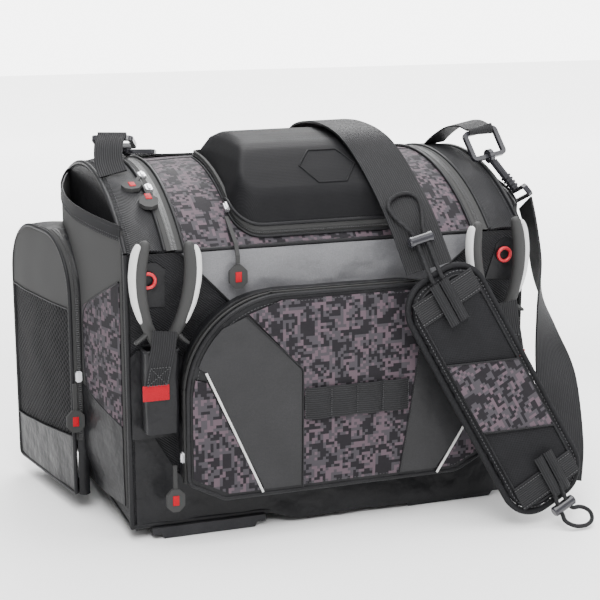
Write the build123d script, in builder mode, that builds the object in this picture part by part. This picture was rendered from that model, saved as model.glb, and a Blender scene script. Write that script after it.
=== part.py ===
"""Soft-sided fishing tackle bag with a domed lid, a moulded case, side pockets and a shoulder strap.

Millimetres. +X is the bag's right, +Y its back, +Z up. The origin is on the floor,
in the middle of the space that the whole bag takes up.
"""
import os
from math import atan2, cos, degrees, pi, radians, sin, sqrt, tan

from build123d import *

# ---- Bag body ---------------------------------------------------------------------------
body_width = 440.0           # outside, side panel to side panel
body_depth = 280.0           # outside, front panel to back panel
front_y = -84.0              # outer face of the front panel
front_edge_z = 300.0         # height of the dome at the front panel
ridge_z = 368.0              # highest line of the dome
ridge_back = 170.0           # distance of that line behind the front panel
panel = 4.0                  # thickness of a padded fabric panel
base_thickness = 5.0         # bottom panel
board_thickness = 3.0        # loose stiffener that lies on the bottom panel
clearance = 0.5              # free gap beside a piece of another body
seam_gap = 0.3               # gap between curved pieces that touch

back_y = front_y + body_depth
mid_y = front_y + body_depth / 2
side_x = body_width / 2
inner_x = side_x - panel

# ---- Dome: lid and top gussets lie on one cylinder along X ---------------------------------
ridge_y = front_y + ridge_back
dome_rise = ridge_z - front_edge_z
dome_radius = (ridge_back ** 2 + dome_rise ** 2) / (2 * dome_rise)
dome_z = ridge_z - dome_radius
lid_half_width = 168.0
zip_gap = 1.5                # open line between the lid and each gusset
lid_back_gap = 8.0           # the lid ends this far in front of the back panel's face

# ---- Skids ---------------------------------------------------------------------------------
skid_height = 12.0
skid_inner_x = 76.0
skid_outer_x = 198.0
skid_front_proud = 5.0
skid_foot_inset = 9.0
skid_step = 5.0

# ---- Front pocket --------------------------------------------------------------------------
pocket_half_width = 168.0
pocket_bottom_z = 46.0
pocket_side_z = 66.0         # lower end of the straight sides
pocket_base_half = 130.0     # half of the straight lower edge
pocket_top_z = 256.0
pocket_corner = 100.0
pocket_depth = 32.0
pocket_wall = 3.0
flap_thickness = 4.0

# ---- Webbing loops on the flap -------------------------------------------------------------
loops_x0, loops_x1 = -45.0, 69.0
loops_z0, loops_z1 = 124.0, 157.0
loop_count = 4
loop_bulge = 7.0
webbing = 1.8

# ---- Rod sleeves ---------------------------------------------------------------------------
sleeve_front_y = front_y + 15.0
sleeve_back_y = back_y - 15.0
sleeve_bow = 28.0            # how far the sleeve's middle stands off the side panel
sleeve_wall = 3.0
sleeve_bottom_z = 30.0
sleeve_front_top_z = 322.0
sleeve_back_top_z = 346.0

# ---- Mesh side pockets ---------------------------------------------------------------------
mesh_front_y = mid_y - 40.0
mesh_back_y = mid_y + 120.0
mesh_front_stand = 32.0      # outer face off the side panel at the pocket's front edge
mesh_back_stand = 64.0       # the same at its back edge
mesh_bottom_z = 20.0
mesh_top_z = 300.0
mesh_corner = 62.0
mesh_wall = 3.0
door_thickness = 3.0

# ---- Moulded case on the lid ---------------------------------------------------------------
case_half_width = 100.0
case_top_half_width = 74.0
case_front_y = -76.0
case_back_y = 106.0
case_corner = 26.0
case_rim = 8.0               # height of the zipped base ring above the dome
case_rim_wall = 8.0
case_wall = 3.0
case_crown_z = 402.0
case_crown_fillet = 22.0

# ---- Pliers and their sheaths --------------------------------------------------------------
pliers_x = side_x - 32.0
pliers_y = front_y - 15.0
pliers_pivot_z = 200.0
pliers_tilt = 4.0            # degrees that each pair leans towards the bag's middle
pliers_thickness = 12.0
handle_length = 118.0
handle_spread = 25.0
handle_width = 9.0
grip_width = 5.0
jaw_length = 60.0
joint_radius = 9.0
rivet_radius = 4.0
sheath_x = pliers_x + 2.0
sheath_width = 34.0
sheath_depth = 27.0
sheath_bottom_z = 120.0
sheath_top_z = 205.0
sheath_notch = 12.0
sheath_wall = 2.5
eyelet_radius = 9.0
eyelet_hole = 4.5
eyelet_x, eyelet_z = side_x - 23.0, 272.0

# ---- Strap ---------------------------------------------------------------------------------
strap_width = 50.0
strap_thickness = 2.4
pad_length = 280.0
pad_width = 98.0
pad_thickness = 12.0
pad_corner = 36.0
pad_top = Vector(side_x - 133, front_y - 53, 270)
pad_bottom = Vector(side_x - 5, front_y - 102, 22)
ring_wire = 5.0
ring_width = 44.0
ring_length = 36.0
anchor_width = 30.0          # webbing loops that carry the rings
hook_eye = 8.0
hook_hole = 4.1
hook_barrel = 4.5
rib_count = 4
rib_pitch = 4.5
rib_height = 1.5
hook_reach = 54.0            # ring wire to the middle of the hook's webbing slot
slot_width = 60.0
slot_length = 15.0
slot_wall = 4.0
right_ring = Vector(side_x - 4, 5, 380)
right_ring_pull = Vector(0.2, -0.5, -0.84).normalized()
right_ring_across = Vector(0.97, 0.1, 0.17)
right_hook_pull = Vector(0.53, -0.35, -0.775).normalized()
right_slot_across = Vector(0.2, 0.9, -0.4)
left_ring = Vector(30 - side_x, 74, 391)
left_ring_pull = Vector(0.35, 0.85, -0.38).normalized()
left_ring_across = Vector(-0.92, 0.38, 0)
left_hook_pull = Vector(0.45, 0.84, -0.25).normalized()

# ---- Elastic cords and cord locks on the pad -------------------------------------------------
cord_diameter = 4.5
cord_sides = 6               # the stand-in tube is six-sided, to keep its faces few
lock_radius = 5.5
lock_length = 27.0

# ---- Zip sliders and pull tags -------------------------------------------------------------
slider_length = 12.0
slider_width = 7.0
slider_height = 4.5
bridge_height = 1.5
tag_width = 19.0
tag_length = 24.0
tag_chamfer = 6.0
tag_thickness = 4.0
lanyard = 4.0
lanyard_thickness = 2.0


def dome_height(y, lift=0.0):
    """Height of the dome's outer face, or of a face `lift` above it, at depth y."""
    return dome_z + sqrt((dome_radius + lift) ** 2 - (y - ridge_y) ** 2)


def save(name, piece):
    """Label one finished piece and write it as its own STEP file."""
    piece.label = name
    export_step(piece, f"parts/{name}.step")


def both_sides(name, piece):
    """Write a right-hand piece and its mirror image on the left."""
    save(f"{name}_left", mirror(piece, about=Plane.YZ))
    save(f"{name}_right", piece)


def band(stations, width, thickness):
    """Flat webbing as a closed solid through stations of (centre, run direction, width direction)."""
    outlines = []
    for centre, run, across in stations:
        half = across * width / 2
        lift = across.cross(run) * thickness / 2
        outlines.append([centre - half - lift, centre + half - lift, centre + half + lift,
                         centre - half + lift])
    faces = [Face(Wire.make_polygon(outlines[0])), Face(Wire.make_polygon(outlines[-1]))]
    for near, far in zip(outlines, outlines[1:]):
        for i in range(4):
            j = (i + 1) % 4
            faces.append(Face(Wire.make_polygon([near[i], near[j], far[j]])))
            faces.append(Face(Wire.make_polygon([near[i], far[j], far[i]])))
    with BuildPart() as strip:
        add(Solid(Shell(faces)))
    return strip.part


def route(points, widths):
    """Stations along a list of points: each section faces the mean of its two runs."""
    points = [Vector(*p) for p in points]
    stations = []
    for i, centre in enumerate(points):
        before = points[max(i - 1, 0)]
        after = points[min(i + 1, len(points) - 1)]
        run = (after - before).normalized()
        across = Vector(*widths[i])
        across = (across - run * across.dot(run)).normalized()
        stations.append((centre, run, across))
    return stations


os.makedirs("parts", exist_ok=True)

# ---- Skids ---------------------------------------------------------------------------------
with BuildPart() as skid:
    with BuildSketch(Plane.XZ.offset(-back_y)):
        with BuildLine():
            Polyline((skid_inner_x, skid_height), (skid_outer_x, skid_height),
                     (skid_outer_x, skid_step), (skid_outer_x - skid_foot_inset, skid_step),
                     (skid_outer_x - skid_foot_inset - 3, 0), (skid_inner_x + skid_foot_inset + 3, 0),
                     (skid_inner_x + skid_foot_inset, skid_step), (skid_inner_x, skid_step), close=True)
        make_face()
    extrude(amount=body_depth + skid_front_proud)
both_sides("skid", skid.part)

# ---- Flat panels ---------------------------------------------------------------------------
with BuildPart() as bottom_panel:
    with BuildSketch(Plane.XY.offset(skid_height)):
        with Locations((0, mid_y)):
            Rectangle(2 * inner_x, body_depth - 2 * panel)
    extrude(amount=base_thickness)
save("bottom_panel", bottom_panel.part)

with BuildPart() as base_board:
    with BuildSketch(Plane.XY.offset(skid_height + base_thickness)):
        with Locations((0, mid_y)):
            RectangleRounded(2 * inner_x - 8, body_depth - 2 * panel - 8, 20)
    extrude(amount=board_thickness)
save("base_board", base_board.part)

inner_front_z = dome_z + sqrt((dome_radius - panel) ** 2 - ridge_back ** 2)
inner_back_z = dome_z + sqrt((dome_radius - panel) ** 2 - (back_y - ridge_y) ** 2)

with BuildPart() as front_panel:
    with BuildSketch(Plane.XZ.offset(-front_y)):
        with Locations((0, skid_height)):
            Rectangle(2 * inner_x, inner_front_z - clearance - skid_height, align=(Align.CENTER, Align.MIN))
    extrude(amount=-panel)
save("front_panel", front_panel.part)

with BuildPart() as back_panel:
    with BuildSketch(Plane.XZ.offset(-back_y)):
        with Locations((0, skid_height)):
            Rectangle(2 * inner_x, inner_back_z - clearance - skid_height, align=(Align.CENTER, Align.MIN))
    extrude(amount=panel)
save("back_panel", back_panel.part)

with BuildPart() as side_panel:
    with BuildSketch(Plane.YZ.offset(inner_x)):
        with BuildLine():
            Polyline((front_y, front_edge_z), (front_y, skid_height), (back_y, skid_height),
                     (back_y, dome_height(back_y)))
            ThreePointArc((back_y, dome_height(back_y)), (ridge_y, ridge_z), (front_y, front_edge_z))
        make_face()
    extrude(amount=panel)
both_sides("side_panel", side_panel.part)


def dome_shell(x0, x1, y0, y1, inner, outer):
    """A strip of the dome between two widths, two depths and two lifts off its outer face."""
    with BuildPart() as strip:
        with BuildSketch(Plane.YZ.offset(x0)):
            with Locations((ridge_y, dome_z)):
                Circle(dome_radius + outer)
                Circle(dome_radius + inner, mode=Mode.SUBTRACT)
            with Locations(((y0 + y1) / 2, dome_z + dome_radius)):
                Rectangle(y1 - y0, 2 * dome_radius, mode=Mode.INTERSECT)
        extrude(amount=x1 - x0)
    return strip.part


# ---- Top: fixed gussets and the domed lid --------------------------------------------------
both_sides("top_gusset", dome_shell(lid_half_width + zip_gap, inner_x, front_y, back_y, -panel, 0))
save("lid", dome_shell(-lid_half_width, lid_half_width, front_y, back_y - lid_back_gap, -panel, 0))


# ---- Front pocket --------------------------------------------------------------------------
def pocket_outline(inset=0.0):
    """Draw the pocket's outline, moved inwards by inset, in the current line context."""
    half, top = pocket_half_width - inset, pocket_top_z - inset
    shoulder = pocket_top_z - pocket_corner
    radius = pocket_corner - inset
    base = pocket_base_half - inset / 2
    low, side = pocket_bottom_z + inset, pocket_side_z + inset / 2
    Polyline((-half, shoulder), (-half, side), (-base, low), (base, low), (half, side), (half, shoulder))
    CenterArc((half - radius, shoulder), radius, 0, 90)
    Line((half - radius, top), (radius - half, top))
    CenterArc((radius - half, shoulder), radius, 90, 90)


with BuildPart() as pocket_gusset:
    with BuildSketch(Plane.XZ.offset(-front_y)):
        with BuildLine():
            pocket_outline()
        make_face()
        with BuildLine():
            pocket_outline(pocket_wall)
        make_face(mode=Mode.SUBTRACT)
    extrude(amount=pocket_depth)
save("pocket_gusset", pocket_gusset.part)

flap_y = front_y - pocket_depth - clearance
with BuildPart() as pocket_flap:
    with BuildSketch(Plane.XZ.offset(-flap_y)):
        with BuildLine():
            pocket_outline()
        make_face()
    extrude(amount=flap_thickness)
save("pocket_flap", pocket_flap.part)

loop_pitch = (loops_x1 - loops_x0) / loop_count
with BuildPart() as webbing_loops:
    with BuildSketch(Plane.XY.offset(loops_z0)):
        for i in range(loop_count):
            left = loops_x0 + i * loop_pitch
            with BuildLine():
                face_y = flap_y - flap_thickness
                Line((left, face_y), (left + loop_pitch, face_y))
                ThreePointArc((left + loop_pitch, face_y), (left + loop_pitch / 2, face_y - loop_bulge),
                              (left, face_y))
            make_face()
            with BuildLine():
                Line((left + 4, face_y - webbing), (left + loop_pitch - 4, face_y - webbing))
                ThreePointArc((left + loop_pitch - 4, face_y - webbing),
                              (left + loop_pitch / 2, face_y - loop_bulge + webbing),
                              (left + 4, face_y - webbing))
            make_face(mode=Mode.SUBTRACT)
        with Locations(((loops_x0 + loops_x1) / 2, face_y - webbing / 2)):
            Rectangle(loops_x1 - loops_x0 + 10, webbing)
    extrude(amount=loops_z1 - loops_z0)
save("webbing_loops", webbing_loops.part)


# ---- Rod sleeves ---------------------------------------------------------------------------
def sleeve_arc(grow=0.0):
    """Draw the closed plan of a sleeve that is `grow` larger than its outer face."""
    start, end = (side_x, sleeve_front_y - grow), (side_x, sleeve_back_y + grow)
    Line(start, end)
    ThreePointArc(end, (side_x + sleeve_bow + grow, (sleeve_front_y + sleeve_back_y) / 2), start)


def sleeve_block(grow, low):
    """The solid filled by a sleeve, from height low to well above its mouth."""
    with BuildPart() as block:
        with BuildSketch(Plane.XY.offset(low)):
            with BuildLine():
                sleeve_arc(grow)
            make_face()
        extrude(amount=ridge_z)
    return block.part


sleeve_slope = degrees(atan2(sleeve_back_top_z - sleeve_front_top_z, sleeve_back_y - sleeve_front_y))
mouth_z = (sleeve_front_top_z + sleeve_back_top_z) / 2
with BuildPart() as rod_sleeve:
    add(sleeve_block(0, sleeve_bottom_z))
    add(sleeve_block(-sleeve_wall, sleeve_bottom_z + sleeve_wall), mode=Mode.SUBTRACT)
    mouth = Plane(origin=(0, mid_y, mouth_z), x_dir=(1, 0, 0),
                  z_dir=(0, -sin(radians(sleeve_slope)), cos(radians(sleeve_slope))))
    split(bisect_by=mouth, keep=Keep.BOTTOM)
both_sides("rod_sleeve", rod_sleeve.part)

# ---- Mesh side pockets ---------------------------------------------------------------------
mesh_run = Vector(mesh_back_stand - mesh_front_stand, mesh_back_y - mesh_front_y, 0)
mesh_plane = Plane(origin=(side_x + mesh_front_stand, mesh_front_y, mesh_bottom_z),
                   x_dir=mesh_run.normalized(), z_dir=mesh_run.normalized().cross(Vector(0, 0, 1)))
mesh_width = mesh_run.length
mesh_height = mesh_top_z - mesh_bottom_z


def mesh_outline(inset=0.0):
    """Draw the side pocket's outline, arched at the top, moved inwards by inset."""
    radius = mesh_corner - inset
    left, right = inset, mesh_width - inset
    shoulder = mesh_height - mesh_corner
    Polyline((left, shoulder), (left, inset), (right, inset), (right, shoulder))
    CenterArc((right - radius, shoulder), radius, 0, 90)
    Line((right - radius, mesh_height - inset), (left + radius, mesh_height - inset))
    CenterArc((left + radius, shoulder), radius, 90, 90)


with BuildPart() as mesh_gusset:
    with BuildSketch(mesh_plane):
        with BuildLine():
            mesh_outline()
        make_face()
        with BuildLine():
            mesh_outline(mesh_wall)
        make_face(mode=Mode.SUBTRACT)
    extrude(amount=-mesh_back_stand)
    add(sleeve_block(seam_gap, 0), mode=Mode.SUBTRACT)
    with BuildSketch(Plane.XY):
        with Locations((side_x / 2, mid_y)):
            Rectangle(side_x + 2 * seam_gap, 2 * body_depth)
    extrude(amount=ridge_z, mode=Mode.SUBTRACT)
both_sides("mesh_pocket_gusset", mesh_gusset.part)

with BuildPart() as mesh_door:
    with BuildSketch(mesh_plane.offset(clearance)):
        with BuildLine():
            mesh_outline()
        make_face()
    extrude(amount=door_thickness)
both_sides("mesh_pocket_door", mesh_door.part)


# ---- Moulded case on the lid ---------------------------------------------------------------
def case_form(inset=0.0):
    """The case's outer form, or its hollow when moved inwards by inset."""
    low = front_edge_z - panel
    top = case_crown_z - inset
    front, back = case_front_y + inset, case_back_y - inset
    with BuildPart() as form:
        with BuildSketch(Plane.YZ.offset(-case_half_width)):
            with BuildLine():
                FilletPolyline((front, low), (front + 8, 352), (-24, top - 9), (50, top), (back - 8, top - 12),
                               (back, low), radius=case_crown_fillet - inset)
                Line((back, low), (front, low))
            make_face()
        extrude(amount=2 * case_half_width)
        half, top_half = case_half_width - inset, case_top_half_width - inset
        with BuildSketch(Plane.XZ.offset(-back_y)):
            with BuildLine():
                FilletPolyline((-half, low), (-half + 4, 350), (-top_half, top + 4), (top_half, top + 4),
                               (half - 4, 350), (half, low), radius=case_crown_fillet - inset)
                Line((half, low), (-half, low))
            make_face()
        extrude(amount=body_depth, mode=Mode.INTERSECT)
        with BuildSketch(Plane.XY.offset(low)):
            with Locations((0, (case_front_y + case_back_y) / 2)):
                RectangleRounded(2 * half, back - front, case_corner - inset)
        extrude(amount=2 * ridge_z, mode=Mode.INTERSECT)
    return form.part


case_mid_y = (case_front_y + case_back_y) / 2
case_length = case_back_y - case_front_y
with BuildPart() as case_base:
    add(dome_shell(-lid_half_width, lid_half_width, front_y, back_y, seam_gap, case_rim))
    with BuildSketch(Plane.XY):
        with Locations((0, case_mid_y)):
            RectangleRounded(2 * case_half_width, case_length, case_corner)
            RectangleRounded(2 * (case_half_width - case_rim_wall), case_length - 2 * case_rim_wall,
                             case_corner - case_rim_wall, mode=Mode.SUBTRACT)
    extrude(amount=2 * ridge_z, mode=Mode.INTERSECT)
save("case_base", case_base.part)

with BuildPart() as dome_core:
    with BuildSketch(Plane.YZ.offset(-side_x)):
        with Locations((ridge_y, dome_z)):
            Circle(dome_radius + case_rim + clearance)
    extrude(amount=body_width)

with BuildPart() as case_lid:
    add(case_form())
    add(case_form(case_wall), mode=Mode.SUBTRACT)
    add(dome_core.part, mode=Mode.SUBTRACT)
save("case_lid", case_lid.part)


# ---- Pliers --------------------------------------------------------------------------------
lean = radians(pliers_tilt)
pliers_plane = Plane(origin=(pliers_x, pliers_y, pliers_pivot_z), x_dir=(cos(lean), 0, sin(lean)),
                     z_dir=(0, -1, 0))
half_thick = pliers_thickness / 2 - clearance / 4


def handle_arc(side, mode=Mode.ADD):
    """The bowed centre line of one handle, in the pliers' own plane."""
    return ThreePointArc((side * 6, 13), (side * (handle_spread * 0.5 + 7), handle_length * 0.45),
                         (side * handle_spread, handle_length - handle_width / 2), mode=mode)


def pliers_half(side, layer):
    """One half of a pair: a bowed handle on one side, a jaw on the other, and half the joint."""
    with BuildPart() as half:
        with BuildSketch(pliers_plane.offset(layer * clearance / 4)):
            Circle(joint_radius)
            with BuildLine():
                Polyline((-side * 9, -2), (-side * 0.8, -7), (-side * 7, -jaw_length),
                         (-side * 9.5, -jaw_length), close=True)
            make_face()
            with BuildLine():
                Line((side * 5, 6), (side * 7, 18))
            trace(line_width=handle_width)
            Circle(rivet_radius + clearance, mode=Mode.SUBTRACT)
        extrude(amount=layer * half_thick)
        with BuildSketch(pliers_plane.offset(-pliers_thickness / 2)):
            with BuildLine():
                handle_arc(side)
            trace(line_width=handle_width)
        extrude(amount=pliers_thickness)
    return half.part


def pliers_grip(side):
    """The soft cover on the outer edge of one handle."""
    offset = (handle_width + grip_width) / 2 + 0.1
    with BuildPart() as grip:
        with BuildSketch(pliers_plane.offset(-pliers_thickness / 2 + 1)):
            with BuildLine():
                arc = handle_arc(side, Mode.PRIVATE)
                along = [0.14, 0.5, 0.8]
                outward = [(arc % t).cross(Vector(0, 0, side)) for t in along]
                ThreePointArc(*[(arc @ t) + out * offset for t, out in zip(along, outward)])
            trace(line_width=grip_width)
        extrude(amount=pliers_thickness - 2)
    return grip.part


both_sides("pliers_inner_half", pliers_half(-1, 1))
both_sides("pliers_outer_half", pliers_half(1, -1))
both_sides("pliers_inner_grip", pliers_grip(-1))
both_sides("pliers_outer_grip", pliers_grip(1))
with BuildPart() as rivet:
    with BuildSketch(pliers_plane.offset(-pliers_thickness / 2 - 1)):
        Circle(rivet_radius)
    extrude(amount=pliers_thickness + 2)
both_sides("pliers_rivet", rivet.part)

# ---- Pliers sheaths ------------------------------------------------------------------------
with BuildPart() as sheath:
    with BuildSketch(Plane.XY.offset(sheath_bottom_z)):
        with Locations((sheath_x, front_y - sheath_depth / 2)):
            RectangleRounded(sheath_width, sheath_depth, 4)
            RectangleRounded(sheath_width - 2 * sheath_wall, sheath_depth - 2 * sheath_wall, 2,
                             mode=Mode.SUBTRACT)
    extrude(amount=sheath_top_z - sheath_bottom_z)
    with BuildSketch(Plane.XZ.offset(-front_y + sheath_depth)):
        with BuildLine():
            Polyline((sheath_x - sheath_width / 2 + 6, sheath_top_z + 1), (sheath_x, sheath_top_z - sheath_notch),
                     (sheath_x + sheath_width / 2 - 6, sheath_top_z + 1), close=True)
        make_face()
    extrude(amount=-sheath_depth / 2, mode=Mode.SUBTRACT)
both_sides("pliers_sheath", sheath.part)

with BuildPart() as eyelets:
    with BuildSketch(Plane.XZ.offset(-front_y)):
        with Locations((-eyelet_x, eyelet_z), (eyelet_x, eyelet_z)):
            Circle(eyelet_radius)
            Circle(eyelet_hole, mode=Mode.SUBTRACT)
    extrude(amount=2)
save("eyelets", eyelets.part)

# ---- Strap webbing -------------------------------------------------------------------------
lie = strap_thickness / 2 + 1.0
rear_y = 157.0
rear_z = dome_height(rear_y) + lie
main_points = [(-154.6, 143, 368.2), (-149, 151, 365.6), (-137, 156, rear_z + 2), (-110, rear_y, rear_z),
               (-40, rear_y, rear_z), (12, 152, rear_z + 5), (40, 132, 380), (50, 104, 399),
               (52, 60, 406), (53, 16, 406), (56, -22, 399), (64, -50, 380), (72, -84, 348),
               (77, -112, 318), (83, -128, 289)]
main_widths = [(-0.88, 0.46, -0.03), (-0.66, 0.75, -0.1), (-0.21, 0.98, -0.25), (0, 1, -0.3), (0, 1, -0.3),
               (0.5, 1, -0.3), (0.9, 0.45, -0.2), (1, 0.1, 0), (1, 0, 0), (1, 0, 0), (1, 0.05, 0.05),
               (1, 0, 0.12), (1, 0, 0.2), (1, 0, 0.3), (1, 0, 0.4)]
save("strap_webbing", band(route(main_points, main_widths), strap_width, strap_thickness))

return_run = [(33.5, -26, 316), (35, -41, 285), (33, -61, 243), (27, -95, 193), (23, -128, 140),
              (18, -154, 78), (10, -166, 40)]
return_points = [(side_x + out, y, z) for out, y, z in return_run]
return_widths = [(0.2, 0.9, -0.4), (0.25, 0.85, -0.45), (0.3, 0.8, -0.5), (0.75, 0.5, -0.4), (1, 0.1, 0),
                 (1, 0, 0.1), (1, 0, 0.3)]
save("strap_return", band(route(return_points, return_widths), strap_width, strap_thickness))

# ---- Shoulder pad --------------------------------------------------------------------------
pad_axis = (pad_bottom - pad_top).normalized()
pad_across = Vector(1, 0, 0) - pad_axis * pad_axis.X
pad_plane = Plane(origin=(pad_top + pad_bottom) / 2, x_dir=-pad_axis,
                  z_dir=pad_across.normalized().cross(pad_axis))
with BuildPart() as strap_pad:
    with BuildSketch(pad_plane):
        RectangleRounded(pad_length, pad_width, pad_corner)
    extrude(amount=pad_thickness / 2, both=True)
save("strap_pad", strap_pad.part)


# ---- Strap anchors: webbing loop, ring and swivel hook on either side ------------------------
wire_reach = (ring_length - ring_wire) / 2


def strap_ring(centre, pull, across):
    """A flat rounded ring; its webbing side is opposite the direction of pull."""
    with BuildPart() as ring:
        with BuildSketch(Plane(origin=centre, x_dir=across, z_dir=across.cross(-pull))):
            RectangleRounded(ring_width, ring_length, 6)
            Rectangle(ring_width - 2 * ring_wire, ring_length - 2 * ring_wire, mode=Mode.SUBTRACT)
        extrude(amount=ring_wire / 2, both=True)
    return ring.part


def strap_hook(wire, pull, across, slot_across):
    """A swivel hook: an eye round the ring's wire, a ribbed barrel and a slot for webbing."""
    swivel = Plane(origin=wire, x_dir=across.cross(pull), z_dir=pull)
    slot_axis = (slot_across - pull * slot_across.dot(pull)).normalized()
    with BuildPart() as hook:
        with BuildSketch(Plane(origin=wire, x_dir=pull, z_dir=across)):
            Circle(hook_eye)
            Circle(hook_hole, mode=Mode.SUBTRACT)
        extrude(amount=ring_wire / 2, both=True)
        barrel_end = hook_reach - slot_length / 2
        with BuildSketch(swivel.offset(hook_eye - 1)):
            RegularPolygon(hook_barrel, 8)
        extrude(amount=barrel_end - hook_eye + 2)
        for i in range(rib_count):
            with BuildSketch(swivel.offset(barrel_end - rib_pitch * (rib_count - i))):
                RegularPolygon(hook_barrel + rib_height, 8)
            extrude(amount=rib_pitch * 0.6)
        with BuildSketch(Plane(origin=wire + pull * hook_reach, x_dir=slot_axis, z_dir=slot_axis.cross(-pull))):
            frame_outline = Rectangle(slot_width, slot_length)
            chamfer(frame_outline.vertices(), 3)
            Rectangle(slot_width - 2 * slot_wall, slot_length - 2 * slot_wall, mode=Mode.SUBTRACT)
        extrude(amount=ring_wire / 2, both=True)
    return hook.part


save("strap_ring_right", strap_ring(right_ring, right_ring_pull, right_ring_across))
save("strap_ring_left", strap_ring(left_ring, left_ring_pull, left_ring_across))
save("strap_hook_right", strap_hook(right_ring + right_ring_pull * wire_reach, right_hook_pull,
                                    right_ring_across, right_slot_across))
save("strap_hook_left", strap_hook(left_ring + left_ring_pull * wire_reach, left_hook_pull,
                                   left_ring_across, left_ring_across))



def round_bar(bar, ahead, first, last):
    """Four points where webbing lies round a ring's bar; angles in degrees from level ahead."""
    step = radians(last - first) / 3
    reach = (ring_wire / sqrt(2) + webbing / 2 + 0.2) / cos(step / 2)
    angles = [radians(first) + step * i for i in range(4)]
    return [bar + ahead * reach * cos(a) + Vector(0, 0, reach * sin(a)) for a in angles]


right_bar = right_ring - right_ring_pull * wire_reach
left_bar = left_ring - left_ring_pull * wire_reach
right_ahead = Vector(0, -1, 0)
left_ahead = Vector(0.38, 0.92, 0).normalized()
right_tab = [(side_x - 22, 100, dome_height(100, 3)), (side_x - 19, 82, 383), (side_x - 13, 58, 396),
             (side_x - 9.5, 34, 400)]
right_tab += round_bar(right_bar, right_ahead, 125, -30)
left_tab = [(15 - side_x, 20, dome_height(20, 5)), (14 - side_x, 33, 376), (17 - side_x, 46, 391)]
left_tab += round_bar(left_bar, left_ahead, 150, -30)
save("anchor_tab_right", band(route(right_tab, [right_ring_across] * len(right_tab)), anchor_width,
                              webbing))
save("anchor_tab_left", band(route(left_tab, [left_ring_across] * len(left_tab)), anchor_width, webbing))


# ---- Elastic cords and their locks ---------------------------------------------------------
pad_middle = (pad_top + pad_bottom) / 2
pad_normal = pad_axis.cross(pad_across.normalized())


def on_pad(along, across, lift):
    """A point above the pad's middle plane, measured along and across the pad."""
    return pad_middle + pad_axis * along + pad_across.normalized() * across + pad_normal * lift


def arc_radii(points):
    """The radius of each bend: 0.45 of the shorter run over the tangent of half the turn."""
    radii = []
    for before, corner, after in zip(points, points[1:], points[2:]):
        first, second = corner - before, after - corner
        half_turn = radians(first.get_angle(second)) / 2
        radii.append(0.45 * min(first.length, second.length) / tan(half_turn))
    return radii


def elastic_cord(name, points):
    """A cord along a route of straight runs and tangent arcs."""
    points = [Vector(*p) for p in points]
    radii = arc_radii(points)
    with BuildPart() as cord:
        with BuildLine() as path:
            FilletPolyline(*points, radius=radii)
        with BuildSketch(Plane(origin=path.line @ 0, z_dir=path.line % 0)):
            outline = RegularPolygon(cord_diameter / 2, cord_sides)
        sweep()
    length = path.wire().length
    ideal = length * outline.area
    print(name, "radii", [round(r, 1) for r in radii], "length", round(length, 1),
          "volume ratio", round(cord.part.volume / ideal, 4))
    save(name, cord.part)


top_legs = [(75.1, -134.5, 294), (70.7, -125.5, 311), (81.9, -124.8, 313.6), (86.4, -134.3, 296.4)]
top_cord = [on_pad(-108, -8, 8.6), on_pad(-139, -7.5, 10.6), *top_legs[:2], (58, -110, 323),
            (53.5, -99, 334.5), (61, -93.5, 342.5), (77, -91.5, 346.5), (88.5, -97, 343),
            (88.5, -110, 329.5), *top_legs[2:], on_pad(-139, 4, 10.6), on_pad(-110, 3.5, 8.6)]
elastic_cord("elastic_cord_top", top_cord)
bottom_legs = [on_pad(136, -4.5, 12.3), on_pad(152, -4.5, 12.3), on_pad(152, 6.5, 12.3),
               on_pad(136, 6.5, 12.3)]
bottom_cord = [on_pad(105, 3, 8.6), on_pad(122, 1.5, 11), *bottom_legs[:2], (212, -210, 10),
               (223, -214.5, 4.2), (237, -214, 3.6), (247, -208.5, 7), (247, -202.5, 15),
               (236, -199.5, 20.5), *bottom_legs[2:], on_pad(122, 10.5, 11), on_pad(105, 13, 8.6)]
elastic_cord("elastic_cord_bottom", bottom_cord)


def cord_lock(centre, axis, run):
    """A barrel lock across two cord legs, with a through hole for each leg."""
    with BuildPart() as lock:
        with BuildSketch(Plane(origin=centre, x_dir=run, z_dir=axis)):
            RegularPolygon(lock_radius, 12)
        extrude(amount=lock_length / 2, both=True)
        chamfer(lock.faces().filter_by(lambda f: abs(f.normal_at().dot(axis)) > 0.99).edges(), 1.2)
        with BuildSketch(Plane(origin=centre, x_dir=axis, z_dir=run)):
            SlotOverall(lock_length - 6, cord_diameter + 2)
        extrude(amount=2 * lock_radius, both=True, mode=Mode.SUBTRACT)
    return lock.part


def between_legs(legs):
    """The middle of the two cord legs inside a lock, the direction across them and their run."""
    near_in, near_out, far_out, far_in = (Vector(*p) for p in legs)
    run = (near_out - near_in + far_out - far_in).normalized()
    across = far_in + far_out - near_in - near_out
    across = (across - run * across.dot(run)).normalized()
    return (near_in + near_out + far_in + far_out) / 4, across, run


save("cord_lock_top", cord_lock(*between_legs(top_legs)))
save("cord_lock_bottom", cord_lock(*between_legs(bottom_legs)))


# ---- Zip sliders and pull tags -------------------------------------------------------------
def zip_slider(plane):
    """A slider body with its bridge, lying on a plane whose +Y points up the zip."""
    with BuildPart() as slider:
        with BuildSketch(plane.offset(clearance)):
            body = Rectangle(slider_width, slider_length)
            chamfer(body.vertices(), slider_width / 4)
        extrude(amount=slider_height - bridge_height)
        with BuildSketch(plane.offset(clearance + slider_height - bridge_height)):
            Rectangle(slider_width / 3, slider_length * 0.75)
        extrude(amount=bridge_height)
    return slider.part


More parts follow.
